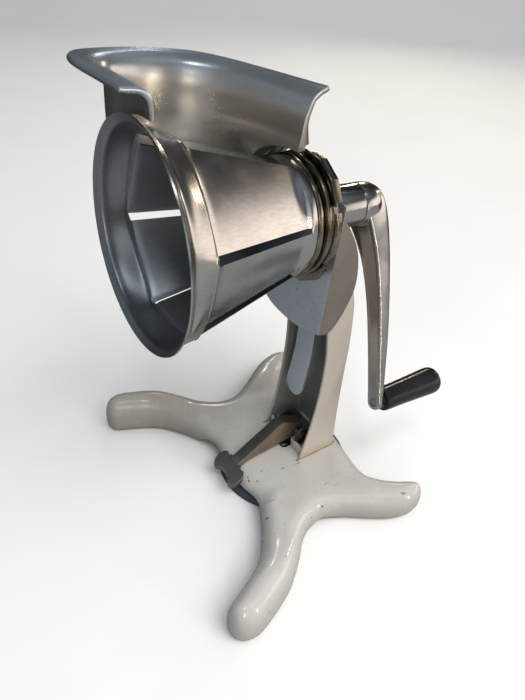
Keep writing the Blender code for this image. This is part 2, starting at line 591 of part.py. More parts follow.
# ---------------------------------------------------------------- slicing cone
def cone_shell():
    """Pressed cone: six panels, each sinking from its blade edge to the next slot."""
    rim = [((62.5, 0.5), (62.2, -0.4)), ((61.6, 1.5), (61.0, 0.5)), ((60.0, 2.9), (59.2, 1.6)),
           ((58.9, 4.8), (57.9, 3.2)), ((58.3, 8.0), (57.4, 7.2)), ((57.7, 12.0), (56.8, 11.8)),
           ((57.2, 15.6), (56.3, 15.6)), ((57.0, 16.9), (56.1, 16.9))]
    slot_y = [17.3, 18.4, 34, 56, 78, 86.2, 87.6]
    tail = [((36.3, 89.0), (35.4, 89.0)), ((35.8, 91.2), (34.9, 91.2))]
    slope = (CONE_R2 - CONE_R1) / (CONE_Y2 - CONE_Y1)

    def line(y):
        return CONE_R1 + slope * (y - CONE_Y1)
    rows = [("rim", a, b) for a, b in rim] + [("slot", y, i) for i, y in enumerate(slot_y)] \
        + [("tail", a, b) for a, b in tail]
    cols = []
    per = 10
    for k in range(SLOTS):
        hi = SLOT_0 + 360 / SLOTS * (1 - k)
        span = 360 / SLOTS - SLOT_DEG
        for j in range(per + 1):
            cols.append((hi - SLOT_DEG - span * j / per, j / per))
    nc = len(cols)
    outer, inner = [], []
    for kind, p, q in rows:
        for ang, f in cols:
            a = math.radians(ang)
            if kind == "slot":
                y = p
                ends = 1.0 if 0 < q < len(slot_y) - 1 else 0.0
                depth = STEP_1 + (STEP_2 - STEP_1) * (y - 17) / 74
                ro = line(y) - ends * depth * (f ** 1.25)
                yo = yi = y
                ri = ro - SHEET
            else:
                (ro, yo), (ri, yi) = p, q
            flat = PANEL_FLAT * (ro / CONE_R1) * blend(6, 22, yo) * blend(91, 80, yo) * 4 * f * (1 - f)
            ro, ri = ro - flat, ri - flat
            outer.append((ro * math.cos(a), yo, ro * math.sin(a)))
            inner.append((ri * math.cos(a), yi, ri * math.sin(a)))
    n_row = len(rows)
    first = len(rim)
    last = len(rim) + len(slot_y) - 1
    cells = set()
    for i in range(n_row - 1):
        for j in range(nc):
            gap = (j % (per + 1)) == per and first <= i < last
            if not gap:
                cells.add((i, j))
    verts = outer + inner
    off = len(outer)
    faces = []

    def vid(i, j):
        return i * nc + (j % nc)
    for i, j in cells:
        q = [vid(i, j), vid(i, j + 1), vid(i + 1, j + 1), vid(i + 1, j)]
        faces.append(q)
        faces.append([off + v for v in q][::-1])
        for (ni, nj, a, b) in ((i - 1, j, q[0], q[1]), (i + 1, j, q[2], q[3]),
                               (i, (j + 1) % nc, q[1], q[2]), (i, (j - 1) % nc, q[3], q[0])):
            if (ni, nj) not in cells:
                faces.append([b, a, off + a, off + b])
    used = sorted({v for f in faces for v in f})
    remap = {v: i for i, v in enumerate(used)}
    verts = [verts[v] for v in used]
    faces = [[remap[v] for v in f] for f in faces]
    return add("cone_shell", verts, orient(verts, faces), TIN, HEAD, sharp=30)


def cone_parts():
    cone_shell()
    ob = add("cone_end_disc", *lathe([(0, 89.2), (34.5, 89.2), (34.5, 91.0), (0, 91.0)], 48), TIN, HEAD)
    boolean(ob, helper("cut_socket", *lathe([(0, 80), (12.0, 80), (12.0, 100), (0, 100)], 28), HEAD), 'DIFFERENCE')
    collar = [(12.2, 91.5), (35.0, 91.5), (36.2, 92.2), (36.7, 93.6), (36.3, 95.2), (35.0, 96.0), (33.6, 97.2),
              (12.2, 97.2)]
    add("cone_collar", *lathe(collar, 44), NICKEL, HEAD)


# ---------------------------------------------------------------- crank and knob
ARM_SECTION = [(10, -8.4), (10, 5.0), (8.2, 8.6), (4.5, 10), (-4.5, 10), (-8.2, 8.6), (-10, 5.0), (-10, -8.4),
               (-8.4, -10), (-5.5, -8.6), (5.5, -8.6), (8.4, -10)]


def crank():
    a = math.radians(CRANK_DEG)
    er, ep = np.array([math.sin(a), 0, -math.cos(a)]), np.array([math.cos(a), 0, math.sin(a)])
    spine = [(-11.6, 154.6), (-9.5, 155.4), (-5, 157.0), (1, 158.7), (12, 161.8), (26, 164.5), (42, 166.1),
             (67, 166.1), (95, 164.2), (124, 160.8), (CRANK_R, ARM_END_Y)]
    half_w = [2.0, 7.2, 10.6, 11.8, 11.0, 9.5, 8.2, 7.1, 6.5, 6.0, 5.9]
    half_t = [1.8, 5.8, 8.4, 9.3, 8.9, 7.7, 6.5, 5.4, 4.6, 3.3, 2.7]
    st = smooth_curve([(s, y, w, t) for (s, y), w, t in zip(spine, half_w, half_t)], 24)
    rings = []
    for i, (s, y, w, t) in enumerate(st):
        p, q = st[max(i - 1, 0)], st[min(i + 1, len(st) - 1)]
        d = np.array([q[0] - p[0], q[1] - p[1]])
        d /= np.linalg.norm(d)
        c = er * s + np.array([0, y, 0])
        nrm = -er * d[1] + np.array([0, d[0], 0])
        ring = [tuple(c + ep * u * w + nrm * v * t) for u, v in
                [(x / 10.0, z / 10.0) for x, z in ARM_SECTION]]
        rings.append(ring)
    # round the lower end about the knob pin
    s0, y0, w0, t0 = st[-1]
    d = np.array([st[-1][0] - st[-2][0], st[-1][1] - st[-2][1]])
    d /= np.linalg.norm(d)
    nrm = -er * d[1] + np.array([0, d[0], 0])
    for ang in (25, 50, 72, 86):
        g = math.radians(ang)
        s = s0 + w0 * math.sin(g)
        w = w0 * math.cos(g)
        c = er * s + np.array([0, y0 + (s - s0) * d[1], 0])
        rings.append([tuple(c + ep * u * w + nrm * v * t0) for u, v in
                      [(x / 10.0, z / 10.0) for x, z in ARM_SECTION]])
    v, f = loft(rings)
    hub = [(0, 148.3), (13.2, 148.3), (13.7, 148.9), (13.7, 154.0), (12.9, 159.5), (10.4, 164.0), (6.2, 167.2),
           (0, 168.4)]
    ob = add("crank_arm", *lathe(hub, 36), POLISH, HEAD, sharp=40)
    boolean(ob, helper("join_arm", v, f, HEAD), 'UNION')
    boolean(ob, helper("cut_crank_bore", *lathe([(0, 140), (6.9, 140), (6.9, 152.7), (5.2, 152.7), (5.2, 161.3),
                                                 (0, 161.3)], 37), HEAD), 'DIFFERENCE')
    px, pz = CRANK_R * math.sin(a), -CRANK_R * math.cos(a)
    boolean(ob, helper("cut_pin_bore", *lathe([(0, 140), (3.1, 140), (3.1, 175), (0, 175)], 24, True, (px, pz)),
                       HEAD), 'DIFFERENCE')
    y = ARM_END_Y + 4.9
    pin = [(0, y - 7.7), (2.0, y - 7.6), (2.8, y - 7.2), (2.8, y + 46.3), (0, y + 46.3)]
    add("knob_pin", *lathe(pin, 20, True, (px, pz)), STEEL, HEAD)
    knob = [(3.1, y), (7.6, y), (8.6, y + 1.0), (8.9, y + 4), (9.0, y + 14), (9.5, y + 28), (10.1, y + 42),
            (10.3, y + 47), (9.6, y + 51), (7.4, y + 53.6), (4.0, y + 54.8), (0, y + 55.2), (0, y + 46.7), (3.1, y + 46.7)]
    add("knob_grip", *lathe(knob, 28, True, (px, pz)), BLACK, HEAD, origin=(px, y, pz))
    washer = [(3.1, y - 1.0), (5.6, y - 1.0), (5.6, y - 0.3), (3.1, y - 0.3)]
    add("knob_washer", *lathe(washer, 20, True, (px, pz)), STEEL, HEAD)


base_casting()
column()
front_lip()
foot_bracket()
suction()
lever()
head_casting()
tongue()
bearing()
drive_ring()
cone_parts()
crank()
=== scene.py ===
"""Looks of the hand-cranked rotary slicer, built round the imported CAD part. Metres, +Z up."""
from math import cos, exp, pi, radians, sin, sqrt
import bpy
import numpy as np
from mathutils import Matrix, Vector
from mathutils.geometry import delaunay_2d_cdt


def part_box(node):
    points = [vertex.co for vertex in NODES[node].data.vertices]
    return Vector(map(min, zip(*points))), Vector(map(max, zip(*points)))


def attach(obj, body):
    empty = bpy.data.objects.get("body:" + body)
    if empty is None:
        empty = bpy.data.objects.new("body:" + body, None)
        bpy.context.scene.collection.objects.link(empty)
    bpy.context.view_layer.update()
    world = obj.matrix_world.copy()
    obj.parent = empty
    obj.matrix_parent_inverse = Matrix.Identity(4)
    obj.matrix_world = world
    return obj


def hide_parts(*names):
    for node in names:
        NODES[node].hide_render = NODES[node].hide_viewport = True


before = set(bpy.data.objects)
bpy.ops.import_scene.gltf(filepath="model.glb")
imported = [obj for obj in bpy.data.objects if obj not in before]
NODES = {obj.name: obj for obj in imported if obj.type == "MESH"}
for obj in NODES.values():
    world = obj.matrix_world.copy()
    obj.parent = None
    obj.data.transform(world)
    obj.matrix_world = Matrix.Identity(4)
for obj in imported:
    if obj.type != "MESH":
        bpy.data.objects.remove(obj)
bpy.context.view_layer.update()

# ---- dimensions shared with the CAD part, mm ----
MM = 0.001
MID_Y, AXIS_Z = -99.95, 239.8
TILT = radians(5.0)
HUB_Y, DECK = 108.0, 24.0
PLATE_Y, SIDE_X = 115.0, 28.5
COL_X, COL_BEND, WEB = 25.0, 3.6, 2.4
PIVOT_Y, PIVOT_Z = 116.0, 36.0
CRANK_R, CRANK_DEG, ARM_END_Y = 141.7, 22.8, 158.6
PIN_X = CRANK_R * sin(radians(CRANK_DEG))
PIN_Z = -CRANK_R * cos(radians(CRANK_DEG))
ON_AXIS = 1e-6   # a smaller radius is a point on the axis
BEVEL_STEPS, CURVE_STEPS = 3, 24


# ---- geometry helpers
def to_world(v, space):
    """Points in mm, in the stand's or the head's frame, to metres."""
    v = np.asarray(v, float).reshape(-1, 3)
    x, y, z = v[:, 0], v[:, 1], v[:, 2]
    if space == "head":
        c, s = cos(TILT), sin(TILT)
        y, z = y * c + z * s, AXIS_Z - y * s + z * c
    return np.stack([x, y + MID_Y, z], 1) * MM


def orient(verts, faces):
    """Turn the faces of a closed body outwards."""
    v = np.array(verts, float)
    vol = 0.0
    for f in faces:
        a = v[f[0]]
        for i in range(1, len(f) - 1):
            vol += np.dot(a, np.cross(v[f[i]], v[f[i + 1]]))
    return faces if vol > 0 else [f[::-1] for f in faces]


def place(name, data):
    ob = bpy.data.objects.new(name, data)
    bpy.context.scene.collection.objects.link(ob)
    return ob


def two_tone(ob, second):
    """Two empty slots; faces that pass the test get the second."""
    slots = ob.data.materials
    slots.clear()
    slots.append(None)
    slots.append(None)
    for p in ob.data.polygons:
        p.material_index = int(second(p))


def solid(name, geo, space, bevel=0.0, angle=35.0, kinds=None):
    """Mesh object from (verts mm, faces); kinds picks each face's slot."""
    verts, faces = geo[0], orient(*geo)
    me = bpy.data.meshes.new(name)
    me.from_pydata([tuple(p) for p in to_world(verts, space)], [], [list(f) for f in faces])
    me.update()
    ob = place(name, me)
    if kinds:
        two_tone(ob, lambda p: kinds[p.index])
    if bevel:
        m = ob.modifiers.new("edge", 'BEVEL')
        m.width, m.segments, m.limit_method = bevel * MM, BEVEL_STEPS, 'ANGLE'
        m.angle_limit = radians(angle)
        bake(ob)
    return ob


def bake(ob):
    """Replace the mesh by its evaluated form and drop the modifiers."""
    dg = bpy.context.evaluated_depsgraph_get()
    dg.update()
    me = bpy.data.meshes.new_from_object(ob.evaluated_get(dg))
    old = ob.data
    ob.modifiers.clear()
    ob.data = me
    bpy.data.meshes.remove(old)
    me.name = ob.name


def combine(ob, others, op):
    """Exact boolean of ob with others, which are used up."""
    for o in others:
        m = ob.modifiers.new("b", 'BOOLEAN')
        m.operation, m.solver, m.object = op, 'EXACT', o
        bake(ob)
    for o in others:
        me = o.data
        bpy.data.objects.remove(o)
        bpy.data.meshes.remove(me)
    return ob


def voxel(ob, size, smooth):
    """Even remesh and smoothing: joints become fillets."""
    m = ob.modifiers.new("v", 'REMESH')
    m.mode, m.voxel_size = 'VOXEL', size * MM
    bake(ob)
    m = ob.modifiers.new("s", 'SMOOTH')
    m.iterations, m.factor = smooth, 0.5
    bake(ob)


def piece(ob, mat, body, nodes, sharp=38.0):
    """Give a finished solid its finish, its body and the CAD nodes it stands for."""
    slots = ob.data.materials
    if isinstance(mat, list):
        slots[0], slots[1] = mat
    else:
        slots.clear()
        slots.append(mat)
    ob.data.shade_smooth()
    ob.data.set_sharp_from_angle(angle=radians(sharp))
    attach(ob, body)
    if nodes:
        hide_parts(*nodes)
    return ob


def lathe(profile, n=96, along_y=True, centre=(0, 0)):
    """Closed body from (radius, height) points, about Y or Z."""
    def put(p, q, h):
        p, q = centre[0] + p, centre[1] + q
        return (p, h, q) if along_y else (p, q, h)
    verts, idx = [], []
    for r, h in profile:
        if r < ON_AXIS:
            idx.append([len(verts)] * n)
            verts.append(put(0, 0, h))
            continue
        idx.append(range(len(verts), len(verts) + n))
        turns = [2 * pi * k / n for k in range(n)]
        verts += [put(r * cos(a), r * sin(a), h) for a in turns]
    faces = []
    m = len(profile)
    for i in range(m):
        a, b = idx[i], idx[(i + 1) % m]
        for k in range(n):
            f = []
            for v in (a[k], b[k], b[(k + 1) % n], a[(k + 1) % n]):
                if v not in f:
                    f.append(v)
            if len(f) > 2:
                faces.append(f)
    return verts, faces


def soften(profile, r=0.35, n=3):
    """Round every corner of a closed lathe outline that isn't on the axis."""
    out = []
    m = len(profile)
    for i, p in enumerate(profile):
        a, b, c = (np.array(profile[(i + j) % m], float) for j in (-1, 0, 1))
        if b[0] < ON_AXIS:
            out.append(tuple(b))
            continue
        la, lc = np.linalg.norm(a - b), np.linalg.norm(c - b)
        d = min(r, la * 0.4, lc * 0.4)
        p0, p1 = b + (a - b) / la * d, b + (c - b) / lc * d
        for k in range(n + 1):
            t = k / n
            out.append(tuple(p0 * (1 - t) ** 2 + 2 * b * t * (1 - t) + p1 * t * t))
    return out


def prism(outline, lo, hi, axis):
    def put(p, h):
        q = list(p)
        q.insert(axis, h)
        return tuple(q)
    n = len(outline)
    verts = [put(p, lo) for p in outline] + [put(p, hi) for p in outline]
    faces = [list(range(n))[::-1], list(range(n, 2 * n))]
    faces += [[i, (i + 1) % n, n + (i + 1) % n, n + i] for i in range(n)]
    return verts, faces


def loft(rings):
    """Closed body through rings of points."""
    n = len(rings[0])
    verts = [tuple(p) for r in rings for p in r]
    faces = []
    for i in range(len(rings) - 1):
        for k in range(n):
            k2 = (k + 1) % n
            faces.append([i * n + k, i * n + k2, (i + 1) * n + k2, (i + 1) * n + k])
    faces.append(list(range(n))[::-1])
    faces.append([(len(rings) - 1) * n + k for k in range(n)])
    return verts, faces


def catmull(pts, per, closed=False):
    """Points of a Catmull-Rom curve, per steps in each span."""
    p = np.array(pts, float)
    p = np.vstack([p[-1:], p, p[:2]] if closed else [p[:1], p, p[-1:]])
    out = []
    for a, b, c, d in zip(p, p[1:], p[2:], p[3:]):
        for k in range(per):
            t = k / per
            out.append(0.5 * (2 * b + (c - a) * t + (2 * a - 5 * b + 4 * c - d) * t * t
                              + (3 * b - 3 * c + d - a) * t ** 3))
    if not closed:
        out.append(p[-1])
    return np.array(out)


def smooth_curve(pts, n, closed=False):
    """n evenly spaced points of the curve through pts."""
    out = catmull(pts, CURVE_STEPS, closed)
    if closed:
        out = np.vstack([out, out[:1]])
    s = np.r_[0, np.cumsum(np.linalg.norm(np.diff(out, axis=0), axis=1))]
    u = np.linspace(0, s[-1], n + 1 if closed else n)
    q = np.stack([np.interp(u, s, out[:, k]) for k in range(out.shape[1])], 1)
    return q[:-1] if closed else q


def blend(a, b, x):
    """Smooth step of x from 0 at a to 1 at b."""
    t = np.clip((x - a) / (b - a), 0, 1)
    return t * t * (3 - 2 * t)


def rounded(hx, hy, r, n=8):
    pts = []
    for cx, cy, a0 in ((1, 1, 0), (-1, 1, 90), (-1, -1, 180), (1, -1, 270)):
        for k in range(n + 1):
            a = radians(a0 + 90 * k / n)
            pts.append((cx * (hx - r) + r * cos(a), cy * (hy - r) + r * sin(a)))
    return pts


def flip(side):
    """Points mirrored in X, in reverse order."""
    return [(-x, y) for x, y in reversed(side)]


def bend(x, y, r):
    """Quarter circle inside the corner at x, y."""
    return [(x - r + r * cos(t), y - r + r * sin(t)) for t in map(radians, range(0, 91, 15))]


def circle(c, r, n=40):
    return [(c[0] + r * cos(2 * pi * k / n), c[1] + r * sin(2 * pi * k / n))
            for k in range(n)]


def turned(name, profile, n, mat, body, node, r=0.5, steps=3, centre=(0, 0)):
    """A rounded-off lathe body in the head's frame, finished."""
    geo = lathe(soften(profile, r, steps), n, True, centre)
    piece(solid(name, geo, "head"), mat, body, [node])


# ---- materials
MIX_FAC, MIX_A, MIX_B, MIX_OUT = 0, 6, 7, 2   # sockets of the colour Mix node
NOISE_LOW, NOISE_HIGH = 0.3, 0.7   # ends of a mottled noise


class Tree:
    """Short calls that add nodes to a tree."""

    def __init__(self, tree):
        self.t = tree

    def new(self, kind, **inputs):
        node = self.t.nodes.new("ShaderNode" + kind)
        for k, v in inputs.items():
            node.inputs[k.replace("_", " ")].default_value = v
        return node

    def link(self, a, b):
        self.t.links.new(a, b)

    def feed(self, sock, v):
        if isinstance(v, (int, float)):
            sock.default_value = v
        elif isinstance(v, tuple):
            sock.default_value = (*v, 1)
        else:
            self.link(v, sock)

    def mix(self, fac, a, b, kind='MIX'):
        m = self.new("Mix")
        m.data_type, m.blend_type = 'RGBA', kind
        for k, v in ((MIX_FAC, fac), (MIX_A, a), (MIX_B, b)):
            self.feed(m.inputs[k], v)
        return m.outputs[MIX_OUT]

    def between(self, value, lo, hi, to_lo=0.0, to_hi=1.0, kind='LINEAR'):
        """Map lo..hi to to_lo..to_hi, clamped."""
        m = self.new("MapRange", From_Min=lo, From_Max=hi, To_Min=to_lo, To_Max=to_hi)
        m.interpolation_type = kind
        self.link(value, m.inputs["Value"])
        return m.outputs["Result"]

    def ray(self, kind):
        return self.new("LightPath").outputs[f"Is {kind} Ray"]


class Finish(Tree):
    """A Principled material, with noises in the stand's or the head's frame."""

    def __init__(self, name, metallic, space="stand", **sockets):
        self.m = bpy.data.materials.new(name)
        self.m.use_nodes = True
        super().__init__(self.m.node_tree)
        self.b = self.t.nodes["Principled BSDF"]
        self.b.inputs["Metallic"].default_value = metallic
        for k, v in sockets.items():
            self.b.inputs[k.replace("_", " ")].default_value = v
        mp = self.new("Mapping")
        if space == "head":
            mp.inputs["Rotation"].default_value = (TILT, 0, 0)
            mp.inputs["Location"].default_value = (0, -MID_Y * MM, 0)
        self.link(self.new("TexCoord").outputs["Object"], mp.inputs["Vector"])
        self.p = mp.outputs["Vector"]

    def stretch(self, sx, sy, sz, loc=(0, 0, 0)):
        mp = self.new("Mapping", Scale=(sx, sy, sz), Location=loc)
        self.link(self.p, mp.inputs["Vector"])
        return mp.outputs["Vector"]

    def noise(self, scale, detail=3.0, rough=0.55, vec=None, dist=0.0):
        n = self.new("TexNoise", Scale=scale, Detail=detail, Roughness=rough, Distortion=dist)
        self.link(vec or self.p, n.inputs["Vector"])
        return n.outputs["Fac"]

    def cells(self, scale):
        """Distance to scattered points."""
        n = self.new("TexVoronoi", Scale=scale)
        self.link(self.p, n.inputs["Vector"])
        return n.outputs["Distance"]

    def ramp(self, fac, *stops):
        r = self.new("ValToRGB")
        e = r.color_ramp.elements
        e.remove(e[-1])
        for i, (pos, c) in enumerate(stops):
            k = e.new(pos) if i else e[0]
            k.position = pos
            k.color = (*c, 1) if isinstance(c, tuple) else (c, c, c, 1)
        self.link(fac, r.inputs["Fac"])
        return r.outputs["Color"]

    def mottle(self, low, high, *noise):
        """Noise that runs from one colour or value to another."""
        return self.ramp(self.noise(*noise), (NOISE_LOW, low), (NOISE_HIGH, high))

    def patch(self, lo, hi, most, *noise):
        """Spots: 0 where the noise is under lo, most where it is over hi."""
        return self.ramp(self.noise(*noise), (lo, 0.0), (hi, most))

    def dots(self, scale, core, rim, most):
        """Small round pits."""
        return self.ramp(self.cells(scale), (core, most), (rim, 0.0))

    def calc(self, op, a, b=0.0):
        m = self.new("Math")
        m.operation = op
        self.feed(m.inputs[0], a)
        self.feed(m.inputs[1], b)
        return m.outputs[0]

    def axis(self, k):
        s = self.new("SeparateXYZ")
        self.link(self.p, s.inputs[0])
        return s.outputs[k]

    def near(self, k, lo, hi):
        """1 where coordinate k is under lo, 0 where it is over hi."""
        return self.between(self.axis(k), lo, hi, 1.0, 0.0)

    def bump(self, height, strength, dist=0.0005, after=None):
        b = self.new("Bump", Strength=strength, Distance=dist)
        self.link(height, b.inputs["Height"])
        if after is not None:
            self.link(after, b.inputs["Normal"])
        return b.outputs["Normal"]

    def done(self, color, rough, normal=None):
        self.link(color, self.b.inputs["Base Color"])
        self.link(rough, self.b.inputs["Roughness"])
        if normal is not None:
            self.link(normal, self.b.inputs["Normal"])
        return self.m


def plain(name, metallic, tone, rough, noise, strength, space="stand"):
    """Mottled tone and roughness, and one fine bump."""
    n = Finish(name, metallic, space)
    return n.done(n.mottle(*tone), n.mottle(*rough), n.bump(n.noise(*noise), strength, 0.0003))


def enamel():
    """Stains, painted shade towards -X, chips and short scratches in a wavy gloss."""
    n = Finish("cream_enamel_v", 0.0, Coat_Weight=0.6, Coat_Roughness=0.12)
    base = n.mottle((0.51, 0.49, 0.465), (0.58, 0.565, 0.545), 14, 4)
    stain = n.patch(0.60, 0.74, 0.55, 30, 5, 0.6, n.stretch(1, 1, 1.6, (0.4, 0.1, 0)))
    base = n.mix(stain, base, (0.42, 0.36, 0.29))
    uneven = n.ramp(n.noise(24, 3), (0.25, 0.35), (0.7, 0.75))
    # painted shade: the enamel darkens towards -X, where the left leg and the deck lie in shade
    painted_shade = n.calc('MULTIPLY', n.near(0, -0.085, -0.020), uneven)
    base = n.mix(painted_shade, base, (0.33, 0.295, 0.26))
    chips = n.patch(0.735, 0.75, 1.0, 170, 2, 0.4, None, 0.6)
    chip = n.calc('MULTIPLY', chips, n.patch(0.52, 0.60, 1.0, 22, 2))
    scratch = n.patch(0.665, 0.685, 0.9, 210, 3, 0.6, n.stretch(1, 0.30, 1), 0.8)
    used = n.patch(0.54, 0.60, 1.0, 26, 2, 0.5, n.stretch(1, 1, 1, (0.3, 0, 0)))
    chip = n.calc('MAXIMUM', chip, n.calc('MULTIPLY', scratch, used))
    base = n.mix(chip, base, (0.16, 0.14, 0.12))
    gloss = n.ramp(n.noise(60, 4), (0.35, 0.20), (0.7, 0.32))
    rough = n.mix(chip, gloss, (0.6, 0.6, 0.6))
    waves = n.bump(n.noise(55, 2), 0.22, 0.0006)
    normal = n.bump(n.calc('SUBTRACT', 1.0, chip), 0.5, 0.0003, waves)
    return n.done(base, rough, normal)


def column_paint():
    """Beige with dark specks, brown at the foot."""
    n = Finish("column_enamel_v", 0.0, Coat_Weight=0.3, Coat_Roughness=0.2)
    base = n.mottle((0.52, 0.475, 0.42), (0.59, 0.55, 0.50), 18, 4)
    base = n.mix(n.patch(0.74, 0.77, 0.7, 240, 2), base, (0.30, 0.26, 0.21))
    foot = n.ramp(n.axis(2), (0.025, 0.55), (0.034, 0.0))
    base = n.mix(foot, base, (0.42, 0.33, 0.20))
    return n.done(base, n.mottle(0.30, 0.42, 70, 3), n.bump(n.noise(60, 3), 0.25, 0.0006))


def cast_metal():
    """Painted reflections: cool near the rim, warm below it, brown on the keel; with small pits."""
    n = Finish("cast_aluminium_v", 0.80, "head")
    # painted reflections: a cool tone above the rim height, a warm one below it, a brown one low down on
    # the keel
    rim = n.ramp(n.axis(2), (0.288, 0.0), (0.304, 1.0))
    cool_reflection = n.mottle((0.31, 0.35, 0.40), (0.43, 0.48, 0.53), 16, 5)
    warm_reflection = n.mottle((0.40, 0.37, 0.335), (0.54, 0.505, 0.46), 16, 5)
    brown_reflection = n.mottle((0.25, 0.215, 0.18), (0.37, 0.325, 0.28), 16, 5)
    tone = n.mix(n.near(2, 0.236, 0.256), n.mix(rim, warm_reflection, cool_reflection), brown_reflection)
    tone = n.mix(n.dots(260, 0.05, 0.12, 0.22), tone, (0.20, 0.185, 0.17))
    grind = n.noise(260, 3, 0.6, n.stretch(1, 1, 0.06))
    normal = n.bump(grind, 0.10, 0.0002, n.bump(n.noise(30, 0), 0.25, 0.0007))
    return n.done(tone, n.mottle(0.24, 0.38, 45, 5, 0.6), normal)


def ground_face():
    n = Finish("ground_face_v", 0.80, "head")
    tone = n.mottle((0.48, 0.53, 0.58), (0.62, 0.67, 0.72), 20, 5)
    pits = n.patch(0.66, 0.72, 1.0, 330, 3, 0.6)
    tone = n.mix(pits, tone, (0.17, 0.16, 0.16))
    dents = n.bump(n.calc('SUBTRACT', 1.0, pits), 0.4, 0.0004)
    normal = n.bump(n.noise(500, 3), 0.25, 0.0003, dents)
    return n.done(tone, n.mottle(0.42, 0.58, 90, 5, 0.6), normal)


def polished():
    n = Finish("polished_aluminium_v", 1.0, "head")
    tone = n.mottle((0.34, 0.335, 0.33), (0.47, 0.465, 0.46), 24, 4)
    tone = n.mix(n.patch(0.62, 0.75, 0.5, 90, 5, 0.65), tone, (0.26, 0.23, 0.19))
    fine = n.bump(n.noise(600, 2, 0.5, n.stretch(1, 1, 0.08)), 0.06, 0.0002)
    normal = n.bump(n.noise(45, 2), 0.18, 0.0006, fine)
    return n.done(tone, n.mottle(0.13, 0.24, 70, 5, 0.6), normal)


def tin(name, dark=1.0, tint=(1, 1, 1), dull=0.0):
    """Tinned sheet, brushed along the cone."""
    n = Finish(name, 1.0, "head")
    low, high = (tuple(v * dark * t for v, t in zip(c, tint))
                 for c in ((0.36, 0.35, 0.34), (0.50, 0.485, 0.47)))
    tone = n.mottle(low, high, 14, 3)
    streak = n.noise(900, 2, 0.5, n.stretch(1, 0.012, 1))
    lines = n.ramp(streak, (0.3, 0.3), (0.7, 0.7))
    tone = n.mix(0.15, tone, lines, 'OVERLAY')
    tone = n.mix(n.dots(190, 0.035, 0.08, 0.35), tone, (0.12, 0.11, 0.10))
    normal = n.bump(streak, 0.05, 0.0001, n.bump(n.noise(26, 2), 0.25, 0.0007))
    return n.done(tone, n.mottle(0.20 + dull, 0.29 + dull, 60, 3, 0.5), normal)


def nickel():
    n = Finish("tarnished_nickel_v", 1.0, "head")
    tone = n.ramp(n.noise(60, 5, 0.65), (0.3, (0.11, 0.085, 0.055)), (0.55, (0.23, 0.205, 0.16)),
                  (0.75, (0.50, 0.47, 0.39)))
    tone = n.mix(n.patch(0.60, 0.72, 0.8, 130, 4, 0.6), tone, (0.10, 0.085, 0.06))
    return n.done(tone, n.mottle(0.12, 0.27, 90, 4), n.bump(n.noise(220, 3), 0.18, 0.0003))


def steel():
    n = Finish("plain_steel_v", 1.0)
    tone = n.mottle(0.2475, 0.396, 70, 4)
    tone = n.mix(n.patch(0.64, 0.74, 0.7, 160, 4), tone, (0.16, 0.09, 0.05))
    return n.done(tone, n.mottle(0.28, 0.45, 90, 3), n.bump(n.noise(260, 3), 0.15, 0.0003))


def lever_metal():
    """Dark plated casting, lighter on the dog-bone head at the lever's front end."""
    n = Finish("lever_metal_v", 0.85)
    tone = n.mottle((0.12, 0.12, 0.10), (0.20, 0.195, 0.17), 45, 5, 0.6)
    tone = n.mix(n.patch(0.56, 0.70, 0.5, 110, 4), tone, (0.20, 0.15, 0.10))
    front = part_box("suction_lever")[0][1]
    tone = n.mix(n.near(1, front + 0.014, front + 0.018), tone, (0.24, 0.245, 0.22))
    return n.done(tone, n.mottle(0.34, 0.52, 120, 4), n.bump(n.noise(200, 4), 0.25, 0.0004))


def black_plastic():
    n = Finish("black_knob_v", 0.0, "head", Coat_Weight=0.1, Coat_Roughness=0.08,
               Specular_IOR_Level=0.25)
    tone = n.mottle((0.010, 0.010, 0.012), (0.022, 0.021, 0.022), 50, 4)
    worn = n.patch(0.64, 0.76, 0.6, 180, 5, 0.7, n.stretch(1, 0.2, 1))
    tone = n.mix(worn, tone, (0.10, 0.085, 0.07))
    return n.done(tone, n.mottle(0.16, 0.32, 150, 4), n.bump(n.noise(240, 3), 0.12, 0.0003))


WHITE, BEIGE = enamel(), column_paint()
INSIDE = plain("column_inside_v", 0.0, ((0.27, 0.29, 0.275), (0.37, 0.395, 0.375), 25, 4),
               (0.42, 0.60, 80, 3), (300, 3), 0.2)
CAST, GROUND, POLISH = cast_metal(), ground_face(), polished()
TIN_OUT = tin("cone_tin_v")
# painted shade: the inside of the cone and its end disc get a darker, bluer copy of the tin
TIN_IN_SHADED = tin("cone_tin_inside_shaded_v", dark=0.62, tint=(0.92, 1.0, 1.10), dull=0.14)
NICKEL, STEEL, LEVER, BLACK = nickel(), steel(), lever_metal(), black_plastic()
LEVER_SIDE = plain("lever_side_v", 0.6, ((0.17, 0.13, 0.095), (0.26, 0.21, 0.155), 60, 5, 0.6),
                   (0.34, 0.50, 120, 4), (260, 4), 0.25)
RUBBER = plain("cup_rubber_v", 0.0, ((0.045, 0.055, 0.075), (0.085, 0.10, 0.125), 40, 4),
               (0.42, 0.62, 90, 4), (350, 3), 0.3)
BRONZE = plain("bronze_bush_v", 1.0, ((0.36, 0.24, 0.11), (0.55, 0.40, 0.20), 90, 4),
               (0.32, 0.48, 120, 3), (300, 3), 0.15, "head")
DIRT = plain("seam_dirt_v", 0.0, ((0.20, 0.13, 0.06), (0.42, 0.32, 0.18), 160, 4),
             (0.55, 0.8, 120, 3), (400, 3), 0.4)

